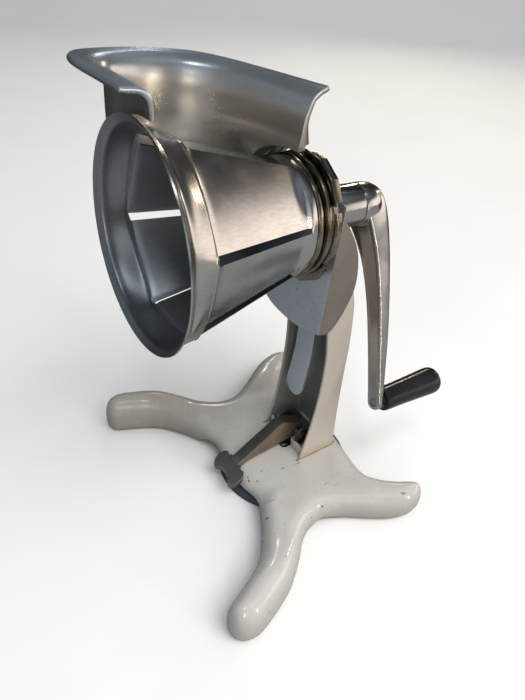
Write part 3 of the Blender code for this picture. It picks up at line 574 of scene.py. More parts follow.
# ---- base
LEG_OUTLINE = [
    (0, 57.5), (16, 58.5), (29, 61.5), (38, 60.5), (49.5, 55), (61.5, 47.8), (76, 36.5), (84, 27),
    (90.5, 15), (95.5, 4), (99, -3), (104.5, -6.3), (111, -6), (116, -2.5), (118.8, 4), (118.5, 13),
    (113, 27.5), (104.5, 44.5), (92, 60), (79, 73), (72, 84.5), (69.8, 96), (73.5, 107.5), (80, 118.5),
    (88.5, 131), (97, 145.5), (100.8, 159), (100, 169.5), (96.5, 175.8), (91.5, 178), (86, 175),
    (79, 164.5), (71.5, 155), (62, 147.8), (50, 146.5), (36, 148.5), (15, 151)]
EDGE_H, HUB_EDGE, HUB_HOLLOW = 8.0, 3.0, 15.0       # edge height, its rise at the hub, hollow there
ROUND_TOP, ROUND_FRONT, ROUND_UNDER = 12.5, 13.5, 4.5   # how far in from the edge the faces level out
ROUND_POWER = 2.4
LEG_RISE, TOE_RISE, FRONT_TOE_RISE = 1.5, 2.0, 5.0
EDGE_STEPS = (0.0, 0.05, 0.2, 0.5, 1.0, 1.8, 2.9, 4.3)
OUTLINE_POINTS, GRID_STEP, GRID_CLEAR = 420, 2.6, 5.4
SCREW_X, SCREW_Y, SCREW_R, LEVER_SLOT_Y = 17.8, 125, 2.7, 114


def outline_distance(a, pts):
    ab = np.roll(a, -1, 0) - a
    out = []
    for chunk in np.array_split(pts, max(1, len(pts) // 500)):
        d = chunk[:, None, :] - a[None]
        t = np.clip((d * ab[None]).sum(2) / (ab ** 2).sum(1)[None], 0, 1)
        out.append(np.linalg.norm(d - t[..., None] * ab[None], axis=2).min(1))
    return np.concatenate(out)


def point_in(poly, pts):
    x, y = pts[:, 0], pts[:, 1]
    inside = np.zeros(len(pts), bool)
    n = len(poly)
    for i in range(n):
        (x1, y1), (x2, y2) = poly[i], poly[(i + 1) % n]
        if y1 == y2:
            continue
        cross = (y1 > y) != (y2 > y)
        inside ^= cross & (x < (x2 - x1) * (y - y1) / (y2 - y1) + x1)
    return inside


def base_heights(p, d):
    """Top and underside heights at plan points p, which lie d inside the outline."""
    r = np.hypot(p[:, 0], p[:, 1] - HUB_Y)
    front = blend(100, 84, p[:, 1]) * blend(48, 34, np.abs(p[:, 0]))
    width = ROUND_TOP + ROUND_FRONT * front
    toe = blend(86, 130, r)
    crown = DECK + LEG_RISE * blend(58, 85, r)
    crown = crown + toe * (TOE_RISE + FRONT_TOE_RISE * blend(105, 60, p[:, 1]))
    hub = blend(74, 61, r)
    under = HUB_HOLLOW * hub
    edge = EDGE_H + HUB_EDGE * hub
    t = np.clip(d / width, 0, 1)
    top = edge + (crown - edge) * (1 - (1 - t) ** ROUND_POWER) ** (1 / ROUND_POWER)
    s = np.clip(d / ROUND_UNDER, 0, 1)
    low = edge - (edge - under) * np.sqrt(1 - (1 - s) ** 2)
    return top, low


def make_base():
    """Legs and hub: the plan is meshed once and lifted to its top and underside."""
    out = smooth_curve(LEG_OUTLINE + [(0, 151.5)] + flip(LEG_OUTLINE[1:]), OUTLINE_POINTS, closed=True)
    tan = np.roll(out, -1, 0) - np.roll(out, 1, 0)
    tan /= np.linalg.norm(tan, axis=1)[:, None]
    nrm = np.stack([-tan[:, 1], tan[:, 0]], 1)
    rings = [out + nrm * d for d in EDGE_STEPS]
    g = np.array([(x + (GRID_STEP / 2 if j % 2 else 0), y)
                  for j, y in enumerate(np.arange(-12, 182, GRID_STEP * 0.87))
                  for x in np.arange(-124, 125, GRID_STEP)])
    g = g[point_in(out, g)]
    g = g[outline_distance(out, g) > GRID_CLEAR]
    n, m = len(out), len(EDGE_STEPS)
    last = rings[-1]
    res = delaunay_2d_cdt([Vector(p) for p in np.vstack([last, g])],
                          [(k, (k + 1) % n) for k in range(n)], [], 1, 1e-5)
    p2 = np.array([tuple(v) for v in res[0]])
    tris = [[i + (m - 1) * n for i in f] for f in res[2]]
    plan = np.vstack(rings[:-1] + [p2])
    d = np.concatenate([np.full(n, o) for o in EDGE_STEPS] + [outline_distance(out, p2[n:])])
    tris += [[i * n + k, i * n + (k + 1) % n, (i + 1) * n + (k + 1) % n, (i + 1) * n + k]
             for i in range(m - 1) for k in range(n)]
    top, low = base_heights(plan, d)
    verts = [(p[0], p[1], z) for p, z in zip(plan, top)]
    where = {}
    for i in range(len(plan)):
        where[i] = i if d[i] == 0.0 else len(verts)
        if d[i] != 0.0:
            verts.append((plan[i][0], plan[i][1], low[i]))
    faces = tris + [[where[i] for i in f][::-1] for f in tris]
    ob = solid("base_body", (verts, faces), "stand")
    slot = [(x, y + LEVER_SLOT_Y) for x, y in rounded(8.5, 12.5, 4.0)]
    cuts = [solid("c0", prism(slot, 0.5, 40, 2), "stand")]
    for sx in (-1, 1):
        hole = circle((SCREW_X * sx, SCREW_Y), SCREW_R, 32)
        cuts.append(solid("c", prism(hole, 0.5, 60, 2), "stand"))
    combine(ob, cuts, 'DIFFERENCE')
    piece(ob, WHITE, "stand", ["base_casting"], sharp=50)


# ---- column
COLUMN_FRONT = [(106.5, 24.3), (110, 38), (114.5, 58), (118, 80), (120.2, 104), (120.6, 128),
                (118.5, 148), (115, 164), (114, 186)]
COLUMN_BACK = [(142.4, 24.3), (141.6, 64), (142.2, 110), (142.8, 130), (141.5, 158), (139.5, 172),
               (135, 183), (126, 189)]


def keel_outline(grow=0.0):
    pts = [(PLATE_Y, 15.0), (118.5, 4.5), (122.6, -0.5), (128.3, -8.7), (132.7, -17), (135.5, -25.5),
           (137.3, -35), (137.6, -44), (136.4, -51), (133.2, -60.3), (129.8, -67.2), (126, -73),
           (121.8, -76.6), (PLATE_Y, -75.8)]
    if grow:
        c = np.array([124.0, -38.0])
        pts = [tuple(c + (np.array(p) - c) * (1 + grow / np.linalg.norm(np.array(p) - c))) for p in pts]
    return pts


def keel(grow=0.0, bevel=0.0):
    """Block under the barrel; a grown one cuts its neighbours clear."""
    body = keel_outline(grow)
    side = [tuple(p) for p in catmull(body[1:-1], 3)]
    side = [body[0]] + side + [body[-1]]
    rings = []
    xs = (SIDE_X + grow, 24, 20, 15, 10, 5, 0, -5, -10, -15, -20, -25, -29, -33, -36, -38.5, -40 - grow)
    shrinks = np.interp(xs, (-40.5, -38, -30, 29), (0.80, 0.93, 1.0, 1.0))
    for x, shrink in zip(xs, shrinks):
        drop = -8.6 * (1 - ((x + 12) / 40.5) ** 2)
        ring = []
        for y, z in side:
            low = min(1.0, max(0.0, (-z - 20) / 56))
            ring.append((x, PLATE_Y + (y - PLATE_Y) * shrink,
                         (z + drop * low) * (shrink * 0.25 + 0.75)))
        rings.append(ring)
    return solid("keel", loft(rings), "head", bevel=bevel, angle=50)


def make_column():
    """Bent sheet: a U section with rounded bends follows the two side curves."""
    front, back = smooth_curve(COLUMN_FRONT, 60), smooth_curve(COLUMN_BACK, 60)
    edge, x_in, x_mid = 0.9, COL_X - WEB, COL_X - WEB / 2
    lip = [(x_mid - (WEB / 2) * cos(t), edge - edge * sin(t)) for t in map(radians, range(15, 180, 30))]
    rings = []
    for f, b in zip(front, back):
        depth = np.linalg.norm(b - f)
        way = (b - f) / depth
        outer = [(COL_X, edge)] + bend(COL_X, depth, COL_BEND)
        inner = [(x_in, edge)] + bend(x_in, depth - WEB, COL_BEND - WEB)
        outer, inner = outer + flip(outer), inner + flip(inner)
        full = outer + flip(lip) + inner[::-1] + lip
        rings.append([(x, *(f + way * s)) for x, s in full])
    kinds = [0] * (len(outer) + len(lip)) + [1] * len(inner) + [0] * len(lip)
    v, faces = loft(rings)
    m = len(rings[0])
    kinds = [len(face) == 4 and all(kinds[i % m] for i in face) for face in faces]
    ob = solid("column_sheet", (v, faces), "stand", kinds=kinds)
    combine(ob, [keel(0.5)], 'DIFFERENCE')
    piece(ob, [BEIGE, INSIDE], "stand", ["column_channel"], sharp=45)


def make_seam():
    """Line of old dirt and rust round the foot of the column."""
    x, y0, y1, w = COL_X, 106.4, 142.5, 0.9
    run = [(x - 1.6, y0 - 0.2), (x + 0.1, y0 + 0.3)] + bend(x + 0.1, y1, COL_BEND)
    run = smooth_curve(run + flip(run), 120)
    rings = []
    for i, p in enumerate(run):
        q = run[min(i + 1, len(run) - 1)] - run[max(i - 1, 0)]
        q /= np.linalg.norm(q)
        nn = np.array([q[1], -q[0]])
        k = w * (0.55 + 0.3 * sin(i * 0.7) * sin(i * 0.23))
        ring = []
        for a in range(0, 360, 45):
            t = radians(a)
            c = p + nn * (0.15 + k * cos(t))
            ring.append((c[0], c[1], DECK + 0.12 + 0.30 * sin(t)))
        rings.append(ring)
    ob = solid("column_seam", loft(rings), "stand")
    piece(ob, DIRT, "stand", [])


def make_lips():
    for sx, node in ((1, "foot_lip_near"), (-1, "foot_lip_far")):
        out = [(8.8 * sx, 109.0), (22.2 * sx, 109.6), (22.2 * sx, 112.0), (10.5 * sx, 111.6),
               (8.8 * sx, 118.0), (6.6 * sx, 118.0), (6.8 * sx, 110.5)]
        ob = solid(node + "_v", prism(out, DECK + 0.3, DECK + 7.5, 2), "stand", bevel=0.6)
        piece(ob, WHITE, "stand", [node])


# ---- suction parts
LEVER_HEAD_Y, LEVER_HEAD_Z, LEVER_HEAD_SLOPE, LEVER_HEAD_T = 62.5, 25.2, 0.59, 4.6
LEVER_SIDE_Y = 66   # the sides have their own finish behind this


def make_cup():
    cup = [(0, 8.0), (30, 7.8), (43, 5.8), (49.5, 2.2), (53.0, 0.2), (54.6, 0.2), (54.2, 2.4), (51.0, 5.6),
           (45.5, 8.4), (38, 9.8), (29, 11.0), (5.2, 11.0), (5.2, 9.4), (0, 9.4)]
    ob = solid("cup_rubber_body", lathe(soften(cup, 1.4, 5), 128, False, (0, HUB_Y)), "stand")
    piece(ob, RUBBER, "cup", ["suction_cup"])


def make_lever():
    """A flat bar with a round boss on the pin, and a dog-bone head."""
    boss = [(PIVOT_Y + 7.6 * cos(radians(a)), PIVOT_Z + 7.6 * sin(radians(a)))
            for a in range(-95, 56, 6)]
    side = [(60.0, 19.6), (70, 23.6), (80, 25.2), (95, 26.6), (108, 28.2)] + boss \
        + [(112.0, 46.4), (105.4, 50.2), (103.0, 50.4), (100.4, 49.4), (60.0, 25.4)]
    bar = solid("lever_bar", prism(side, -5.0, 5.0, 0), "stand", bevel=0.9, angle=25)
    half = [(0, 62.5), (6.5, 62.5), (9, 61.0), (12.5, 61.5), (15.5, 59), (16.5, 55), (15, 50.6),
            (11.5, 48.4), (8.2, 49.0), (5, 51.0), (0, 51.6)]
    plan = smooth_curve(half + flip(half[1:-1]), 120, closed=True)
    top = [(x, y, LEVER_HEAD_Z - LEVER_HEAD_SLOPE * (LEVER_HEAD_Y - y)) for x, y in plan]
    low = [(x, y, z - LEVER_HEAD_T) for x, y, z in top]
    head = solid("h", loft([low, top]), "stand", bevel=0.7, angle=50)
    combine(bar, [head], 'UNION')
    pin = circle((PIVOT_Y, PIVOT_Z), 2.9, 36)
    combine(bar, [solid("p", prism(pin, -20, 20, 0), "stand")], 'DIFFERENCE')
    two_tone(bar, lambda p: abs(p.normal.x) > 0.8 and p.center.y > (LEVER_SIDE_Y + MID_Y) * MM)
    piece(bar, [LEVER, LEVER_SIDE], "lever", ["suction_lever"], sharp=40)


# ---- head casting
TOP_RIM = [(3, -7.5), (-25, -9.4), (-48, -10.5), (-63, -8), (-73.5, 3), (-78.3, 31), (-73, 59), (-56, 80),
           (-29, 96), (3, 108.9)]
NECK = [(3, 7.8), (-25, 6.6), (-44, 5.6), (-56, 9), (-64, 20), (-67, 38), (-63, 57), (-49, 75),
        (-27, 87.5), (3, 97.5)]
MIDDLE = [(3, 7.6), (-25, 7.0), (-43, 6.4), (-55, 9), (-63, 18), (-66, 36), (-61, 55), (-47, 73.5),
          (-26, 86.5), (3, 95.7)]
LOWER = [(3, 7.6), (-25, 7.6), (-45, 8.0), (-58, 10), (-64, 18), (-62, 36), (-56, 56), (-46, 76),
         (-30, 92), (3, 98)]
LIP_FRONT = [(1.0, 0.0), (0.64, 0.2), (0.37, 0.7), (0.16, 2.7), (0.04, 5.7), (0.0, 10.2), (0.0, 18.0)]
LIP_REAR = [(1.0, 0.0), (0.84, 0.9), (0.63, 2.1), (0.28, 5.6), (0.11, 10.8), (0.0, 15.0), (-0.06, 21.0)]
WALL_Z = [18, 38, 40, 44, 48, 54, 60, 66, 80]
WALL_EXTRA = [5.0, 9.5, 8.7, 6.2, 3.6, 1.4, 0.8, 0.4, 0.0]
HOPPER_T = 3.0


def hopper_grid(n=150, per=5):
    """Middle surface of the hopper, from its foot up to its rim."""
    neck, rim, middle = smooth_curve(NECK, n), smooth_curve(TOP_RIM, n), smooth_curve(MIDDLE, n)
    lower = smooth_curve(LOWER, n)
    k = np.arange(n) / (n - 1) * 35
    top = 75.2 - 0.9 * blend(0, 14, k) - 2.0 * blend(62, 108, rim[:, 1])
    along = blend(4, 28, k)
    rows = [[(x, y, z) for x, y in c] for z, c in ((-12, lower), (18, lower), (38, middle))]
    rows.append([(*((middle[j] + neck[j]) / 2), 47.0) for j in range(n)])
    for (ta, da), (tb, db) in zip(reversed(LIP_FRONT), reversed(LIP_REAR)):
        t, d = ta + (tb - ta) * along, da + (db - da) * along
        rows.append([(*(neck[j] * (1 - t[j]) + rim[j] * t[j]), top[j] - d[j]) for j in range(n)])
    g = np.array(rows)
    fine = np.stack([catmull(g[:, j], per) for j in range(n)], 1)
    return fine, k


def hopper_shell():
    """Wall of the hopper, thicker at its rear end, with a rounded border."""
    g, k = hopper_grid()
    rows, n = g.shape[:2]
    nn = np.cross(np.gradient(g, axis=1), np.gradient(g, axis=0))
    nn /= np.linalg.norm(nn, axis=2)[..., None]
    rear = blend(25, 35, k)[None, :]
    extra = (rear * np.interp(g[..., 2], WALL_Z, WALL_EXTRA))[..., None]
    a, b = g + nn * HOPPER_T / 2, g - nn * (HOPPER_T / 2 + extra)
    verts = [tuple(p) for r in a for p in r] + [tuple(p) for r in b for p in r]
    off = rows * n
    faces = []
    for i in range(rows - 1):
        for j in range(n - 1):
            q = [i * n + j, i * n + j + 1, (i + 1) * n + j + 1, (i + 1) * n + j]
            faces.append(q)
            faces.append([off + v for v in q][::-1])
    border = [(0, j) for j in range(n)] + [(i, n - 1) for i in range(1, rows)] \
        + [(rows - 1, j) for j in range(n - 2, -1, -1)] + [(i, 0) for i in range(rows - 2, 0, -1)]
    strips = [[i * n + j for i, j in border]]
    for ang in (-60, -30, 0, 30, 60):
        t = radians(ang)
        row = []
        for i, j in border:
            i2, j2 = min(max(i, 1), rows - 2), min(max(j, 1), n - 2)
            o = g[i, j] - g[i2, j2]
            o /= np.linalg.norm(o) + 1e-9
            pa, pb = a[i, j], b[i, j]
            h = np.linalg.norm(pb - pa) / 2
            c = (pa + pb) / 2 + (pb - pa) / 2 * sin(t) + o * min(h, 1.5) * 0.75 * (cos(t) - 0.35)
            row.append(len(verts))
            verts.append(tuple(c))
        strips.append(row)
    strips.append([off + i * n + j for i, j in border])
    m = len(border)
    for s0, s1 in zip(strips, strips[1:]):
        for j in range(m):
            faces.append([s0[(j + 1) % m], s0[j], s1[j], s1[(j + 1) % m]])
    return verts, faces


def sector(r0, r1, y0, y1, a0, a1, n=60):
    """Part of a ring about the shaft axis, between two angles."""
    rings = []
    for k in range(n + 1):
        a = radians(a0 + (a1 - a0) * k / n)
        c, s = cos(a), sin(a)
        rings.append([(r * c, y, r * s) for r, y in ((r0, y0), (r1, y0), (r1, y1), (r0, y1))])
    return loft(rings)


def make_head():
    """Keel, plate, shroud and hopper joined, with room cut for cone and ring."""
    ob = keel(0.0, bevel=0.7)
    ob.name = "head_body"
    plate = [(0, 109.0), (18, 109.0), (20.5, 111.5), (20.5, 119.0), (17.5, 122.3), (0, 122.3)]
    parts = [solid("j1", lathe(soften(plate, 0.8), 80), "head"),
             solid("j2", sector(41, 46.5, 98.5, 112, 112, 236), "head", bevel=0.6, angle=50),
             solid("j3", sector(12, 46.1, 111.1, 121, 150, 232), "head", bevel=0.6, angle=50),
             solid("j4", hopper_shell(), "head")]
    combine(ob, parts, 'UNION')
    clear = [(0, -30), (64.1, -30), (64.1, 3.6), (61.8, 4.4), (39.7, 92), (39.7, 99.8), (42.4, 99.8),
             (42.4, 108.3), (7.2, 108.3), (7.2, 118.0), (14.0, 118.0), (14.0, 170), (0, 170)]
    combine(ob, [solid("cl", lathe(clear, 180), "head")], 'DIFFERENCE')
    ahead = Vector((0, -cos(TILT), sin(TILT)))
    two_tone(ob, lambda p: p.center.z < (AXIS_Z - 12) * MM and p.normal.dot(ahead) > 0.98)
    piece(ob, [CAST, GROUND], "stand", ["head_casting"], sharp=32)


TONGUE_W, TONGUE_T = 9.4, 1.6   # half width and half thickness


def make_tongue():
    spine = smooth_curve([(121.5, 141), (121.0, 128), (120.0, 114), (117.6, 100), (115.0, 88),
                          (114.0, 76)], 48)
    rings = []
    z_end = spine[-1][1]
    for y, z in spine:
        t = min(1.0, max(0.0, (z_end + TONGUE_W - z) / TONGUE_W))
        w = TONGUE_W * sqrt(max(1 - t * t, 0.02))
        rings.append([(x, y + TONGUE_T * (1 if k < 2 else -1), z)
                      for k, x in enumerate((-w, w, w, -w))])
    ob = solid("tongue_strap", loft(rings), "stand", bevel=0.5, angle=50)
    combine(ob, [keel(0.4)], 'DIFFERENCE')
    piece(ob, GROUND, "stand", ["head_tongue"])


def make_bearing():
    barrel = [(10.3, 118.4), (13.7, 118.4), (13.7, 147.3), (13.3, 147.9), (10.3, 147.9)]
    turned("barrel_v", barrel, 120, POLISH, "stand", "bearing_barrel")
    for node, y0, y1 in (("bush_front", 118.6, 128.0), ("bush_rear", 138.0, 147.6)):
        bush = [(6.9, y0), (10.0, y0), (10.0, y1), (6.9, y1)]
        turned(node + "_v", bush, 80, BRONZE, "stand", node, 0.4)
    shaft = [(0, 107.8), (6.5, 107.8), (6.5, 152.4), (4.8, 152.4), (4.8, 160.2), (4.0, 161.0), (0, 161.0)]
    turned("shaft_v", shaft, 80, STEEL, "rotor", "drive_shaft", 0.4)


def make_ring():
    """Grooved ring with three lugs and six notches."""
    prof = [(0, 84.6), (10.4, 84.6), (11.4, 85.6), (11.4, 97.6), (33.4, 97.6), (36.4, 98.2), (37.0, 99.4),
            (36.6, 101.0), (35.2, 101.6), (35.0, 102.6), (36.6, 103.2), (37.4, 104.0), (37.4, 107.4),
            (0, 107.4)]
    ob = solid("ring_body", lathe(soften(prof, 0.5, 4), 180), "head")
    lugs, cuts = [], []
    for k in range(3):
        mid = 60 + 120 * k
        lug = []
        for rad, da in ((39.6, -31), (40.9, -11), (41.2, -10), (41.2, 10), (40.9, 11), (39.6, 31)):
            a = radians(mid + da)
            lug.append((rad * cos(a), rad * sin(a)))
        for da in range(31, -32, -6):
            a = radians(mid + da)
            lug.append((33.0 * cos(a), 33.0 * sin(a)))
        lugs.append(solid("l", prism(lug, 101.9, 107.2, 1), "head", bevel=0.5, angle=50))
    for k in range(6):
        a = radians(28.5 + 60 * k)
        c, s = cos(a), sin(a)
        q = [(34.2, -3.1), (44, -3.1), (44, 3.1), (34.2, 3.1)]
        q = [(x * c - y * s, x * s + y * c) for x, y in q]
        cuts.append(solid("n", prism(q, 102.9, 109, 1), "head"))
    combine(ob, lugs, 'UNION')
    combine(ob, cuts, 'DIFFERENCE')
    piece(ob, NICKEL, "rotor", ["drive_ring"], sharp=30)


# ---- cone
CONE_R1, CONE_Y1, CONE_R2, CONE_Y2 = 56.4, 17.0, 35.7, 91.4
SHEET, SLOTS, SLOT_0, SLOT_DEG = 0.9, 6, 15.0, 4.0
STEP_1, STEP_2, PANEL_FLAT = 3.4, 2.6, 4.4      # how far a panel sinks at its front and rear end
COLUMNS, BLADE_W, BLADE_CUT = 28, 1.6, 0.55     # mesh columns in a panel; width and depth of a blade
RIDGE_Y, RIDGE_H, RIDGE_W = 16.9, 0.22, 0.55    # fine ridge behind the flare
NUB_Y, NUB_H, NUB_W, NUB_ARC = 17.9, 0.7, 1.3, 1.8   # nub at the front end of each slot


def make_cone():
    """Flared cone of six flattened panels, each with a slot and a blade."""
    rim = [(62.5, 0.5, 62.2, -0.4), (61.6, 1.5, 61.0, 0.5), (60.0, 2.9, 59.2, 1.6), (58.9, 4.8, 57.9, 3.2),
           (58.3, 8.0, 57.4, 7.2), (57.7, 12.0, 56.8, 11.8), (57.2, 15.6, 56.3, 15.6),
           (57.0, 16.9, 56.1, 16.9)]
    fine = catmull(rim, 5)
    slope = (CONE_R2 - CONE_R1) / (CONE_Y2 - CONE_Y1)

    def line(y):
        return CONE_R1 + slope * (y - CONE_Y1)
    rows = [("rim", p[:2], p[2:]) for p in fine]
    slot_y = [17.15, 17.35, 17.6, 17.9, 18.4, 19.2] + list(np.linspace(20.5, 78, 40)) \
        + [79.5, 81, 82.5, 84, 85, 86, 86.8, 87.4, 87.8]
    rows += [("slot", y, None) for y in slot_y]
    rows += [("tail", (36.3, 89.0), (35.4, 89.0)), ("tail", (36.05, 90.1), (35.15, 90.1)),
             ("tail", (35.8, 91.2), (34.9, 91.2))]
    cols = []
    span = 360 / SLOTS - SLOT_DEG
    for k in range(SLOTS):
        hi = SLOT_0 + 360 / SLOTS * (1 - k)
        for j in range(COLUMNS + 1):
            cols.append((hi - SLOT_DEG - span * j / COLUMNS, j / COLUMNS))
    nc = len(cols)
    outer, inner = [], []
    for kind, p, q in rows:
        for ang, f in cols:
            a = radians(ang)
            if kind == "slot":
                y = p
                ends = float(blend(17.1, 18.3, y) * blend(88.0, 84.6, y))
                depth = STEP_1 + (STEP_2 - STEP_1) * (y - 17) / 74
                ro = line(y) - ends * depth * (f ** 1.25)
                yo = yi = y
                ri = ro - SHEET
                # blade: the sheet is ground from outside to a thin edge beside the slot
                edge = max(0.0, 1 - f * span * radians(1) * ro / BLADE_W)
                ri += edge * BLADE_CUT * ends
            else:
                (ro, yo), (ri, yi) = p, q
            flat = PANEL_FLAT * (ro / CONE_R1) * blend(6, 22, yo) * blend(91, 80, yo) * 4 * f * (1 - f)
            arc = f * radians(span) * ro
            rise = RIDGE_H * exp(-((yo - RIDGE_Y) / RIDGE_W) ** 2)
            rise += NUB_H * exp(-((yo - NUB_Y) / NUB_W) ** 2 - (arc / NUB_ARC) ** 2)
            ro, ri = ro - flat + rise, ri - flat + rise * 0.8
            outer.append((ro * cos(a), yo, ro * sin(a)))
            inner.append((ri * cos(a), yi, ri * sin(a)))
    first = len(fine) + 3
    last = len(fine) + len(slot_y) - 3
    cells = {(i, j) for i in range(len(rows) - 1) for j in range(nc)
             if not (j % (COLUMNS + 1) == COLUMNS and first <= i < last)}
    verts = outer + inner
    off = len(outer)
    faces, kinds = [], []

    def vid(i, j):
        return i * nc + (j % nc)
    for i, j in sorted(cells):
        q = [vid(i, j), vid(i, j + 1), vid(i + 1, j + 1), vid(i + 1, j)]
        faces.append(q)
        faces.append([off + v for v in q][::-1])
        kinds += [0, 1]
        for (ni, nj, a, b) in ((i - 1, j, q[0], q[1]), (i + 1, j, q[2], q[3]),
                               (i, (j + 1) % nc, q[1], q[2]), (i, (j - 1) % nc, q[3], q[0])):
            if (ni, nj) not in cells:
                faces.append([b, a, off + a, off + b])
                kinds.append(0)
    used = sorted({v for f in faces for v in f})
    remap = {v: i for i, v in enumerate(used)}
    verts = [verts[v] for v in used]
    faces = [[remap[v] for v in f] for f in faces]
    ob = solid("cone_sheet", (verts, faces), "head", kinds=kinds)
    # outer faces take the tin; inner faces and the end disc take its copy with painted shade
    piece(ob, [TIN_OUT, TIN_IN_SHADED], "cone", ["cone_shell"], sharp=28)
    disc = [(12.0, 89.2), (34.5, 89.2), (34.5, 91.0), (12.0, 91.0)]
    turned("cone_floor", disc, 120, TIN_IN_SHADED, "cone", "cone_end_disc", 0.3)
    collar = [(12.2, 91.5), (35.0, 91.5), (36.2, 92.2), (36.7, 93.6), (36.3, 95.2), (35.0, 96.0),
              (33.6, 97.2), (12.2, 97.2)]
    turned("collar_v", collar, 160, NICKEL, "cone", "cone_collar")


# ---- crank and knob
ARM_SECTION = [(10, -8.4), (10, 5.0), (8.2, 8.6), (4.5, 10), (-4.5, 10), (-8.2, 8.6), (-10, 5.0),
               (-10, -8.4), (-8.4, -10), (-5.5, -8.6), (5.5, -8.6), (8.4, -10)]


def make_crank():
    a = radians(CRANK_DEG)
    er = np.array([sin(a), 0, -cos(a)])
    ep = np.array([cos(a), 0, sin(a)])
    # distance from the axis, height along it, half width, half thickness
    spine = [(-11.6, 154.6, 2.0, 1.8), (-9.5, 155.4, 7.2, 5.8), (-5, 157.0, 10.6, 8.4),
             (1, 158.7, 11.8, 9.3), (12, 161.8, 11.0, 8.9), (26, 164.5, 9.5, 7.7),
             (42, 166.1, 8.2, 6.5), (67, 166.1, 7.1, 5.4), (95, 164.2, 6.5, 4.6),
             (124, 160.8, 6.0, 3.3), (CRANK_R, ARM_END_Y, 5.9, 2.7)]
    st = smooth_curve(spine, 80)
    sec = [(x / 10, z / 10) for x, z in smooth_curve(ARM_SECTION, 64, closed=True)]
    rings = []

    def ring(c, nrm, w, t):
        return [tuple(c + ep * u * w + nrm * v * t) for u, v in sec]
    for i, (s, y, w, t) in enumerate(st):
        p, q = st[max(i - 1, 0)], st[min(i + 1, len(st) - 1)]
        d = np.array([q[0] - p[0], q[1] - p[1]])
        d /= np.linalg.norm(d)
        nrm = -er * d[1] + np.array([0, d[0], 0])
        rings.append(ring(er * s + np.array([0, y, 0]), nrm, w, t))
    s0, y0, w0, t0 = st[-1]
    for ang in range(10, 90, 10):
        g = radians(ang)
        s = s0 + w0 * sin(g)
        rings.append(ring(er * s + np.array([0, y0 + (s - s0) * d[1], 0]), nrm, w0 * cos(g), t0))
    arm = solid("arm", loft(rings), "head")
    hub = catmull([(13.2, 148.3), (13.7, 148.9), (13.7, 154.0), (12.9, 159.5), (10.4, 164.0),
                   (6.2, 167.2), (0, 168.4)], 4)
    ob = solid("crank_body", lathe([(0, 148.3)] + [tuple(p) for p in hub], 120), "head")
    combine(ob, [arm], 'UNION')
    voxel(ob, 0.5, 6)
    bore = [(0, 140), (6.9, 140), (6.9, 152.7), (5.2, 152.7), (5.2, 161.3), (0, 161.3)]
    pin_hole = [(0, 140), (3.1, 140), (3.1, 175), (0, 175)]
    combine(ob, [solid("b", lathe(bore, 72), "head"),
                 solid("p", lathe(pin_hole, 48, True, (PIN_X, PIN_Z)), "head")], 'DIFFERENCE')
    piece(ob, POLISH, "rotor", ["crank_arm"], sharp=60)
    y = ARM_END_Y + 4.9
    pin = [(0, y - 7.7), (2.0, y - 7.6), (2.8, y - 7.2), (2.8, y + 46.3), (0, y + 46.3)]
    turned("pin_v", pin, 60, STEEL, "rotor", "knob_pin", 0.3, centre=(PIN_X, PIN_Z))
    grip = [(8.6, 0.6), (8.9, 4), (9.0, 14), (9.5, 28), (10.1, 42), (10.35, 49), (10.0, 52.4), (8.7, 54.2),
            (5.5, 54.9), (0, 55.2)]
    outer = [tuple(p) for p in catmull([(r, y + h) for r, h in grip], 5)]
    knob = [(3.1, y), (7.8, y), (8.3, y + 0.15)] + outer + [(0, y + 46.7), (3.1, y + 46.7)]
    grip = solid("knob_v", lathe(knob, 96, True, (PIN_X, PIN_Z)), "head")
    piece(grip, BLACK, "knob", ["knob_grip"])


for make in (make_base, make_column, make_seam, make_lips, make_cup, make_lever, make_head,
             make_tongue, make_bearing, make_ring, make_cone, make_crank):
    make()

# the small fittings keep their CAD shape and get a finish
for node in ("foot_bracket", "bracket_screw_near", "bracket_screw_far", "lever_pin", "pin_clip_near",
             "pin_clip_far", "stud_spring", "cup_disc", "cup_stud", "knob_washer"):
    ob = NODES[node]
    ob.data.materials.clear()
    ob.data.materials.append(STEEL)
    for p in ob.data.polygons:
        p.material_index = 0

# ---- floor, light, camera
CAM_AT = Vector((0.2566, -0.0931 + MID_Y * MM, 0.3919))
CAM_YAW, CAM_PITCH, CAM_ROLL = (radians(a) for a in (55.62, 39.90, 2.78))
CAM_LENS, CAM_SENSOR, CAM_NEAR = 29.78, 36, 0.01
FLOOR_HALF, FLOOR_BACK, FLOOR_BEND, WALL_TOP = 4.0, 1.6, 1.2, 4.0
FLOOR_DROP = 0.0004   # keeps the legs' undersides off the floor
FLOOR_DIFFUSE = (0.15, 0.145, 0.14)   # the floor as diffuse light sees it
FLOOR_NEAR, FLOOR_FAR = (0.05, 0.04, 0.03), (0.40, 0.415, 0.43)   # and as reflections see it
BACKGROUND = (0.80, 0.80, 0.79)   # the world as the camera sees it
HOPPER_AT, OBJECT_AT = (-0.08, -0.02, 0.31), (0, 0, 0.2)

WARM_LIGHT, COOL_LIGHT = (1.0, 0.86, 0.66), (0.90, 0.96, 1.0)
# name, place, size, power, colour: these aim at the hopper and put the highlights on the metal
SMALL_LIGHTS = (
    ("box", (0.59, -0.40, 1.61), (0.20, 0.20), 3.0, COOL_LIGHT),
    ("strip_1", (1.45, 0.55, 0.38), (0.04, 0.70), 3.4, WARM_LIGHT),
    ("strip_2", (1.33, -0.80, 0.62), (0.035, 0.42), 2.0, WARM_LIGHT),
    ("glint_1", (-1.05, 1.12, 0.65), (0.05, 0.30), 1.8, (1.0, 0.84, 0.62)),
    ("glint_2", (-0.12, 1.45, 0.65), (0.05, 0.20), 1.2, (1.0, 0.84, 0.62)),
    ("glint_3", (-1.15, 0.70, 1.06), (0.10, 0.12), 1.2, (0.95, 0.98, 1.0)))
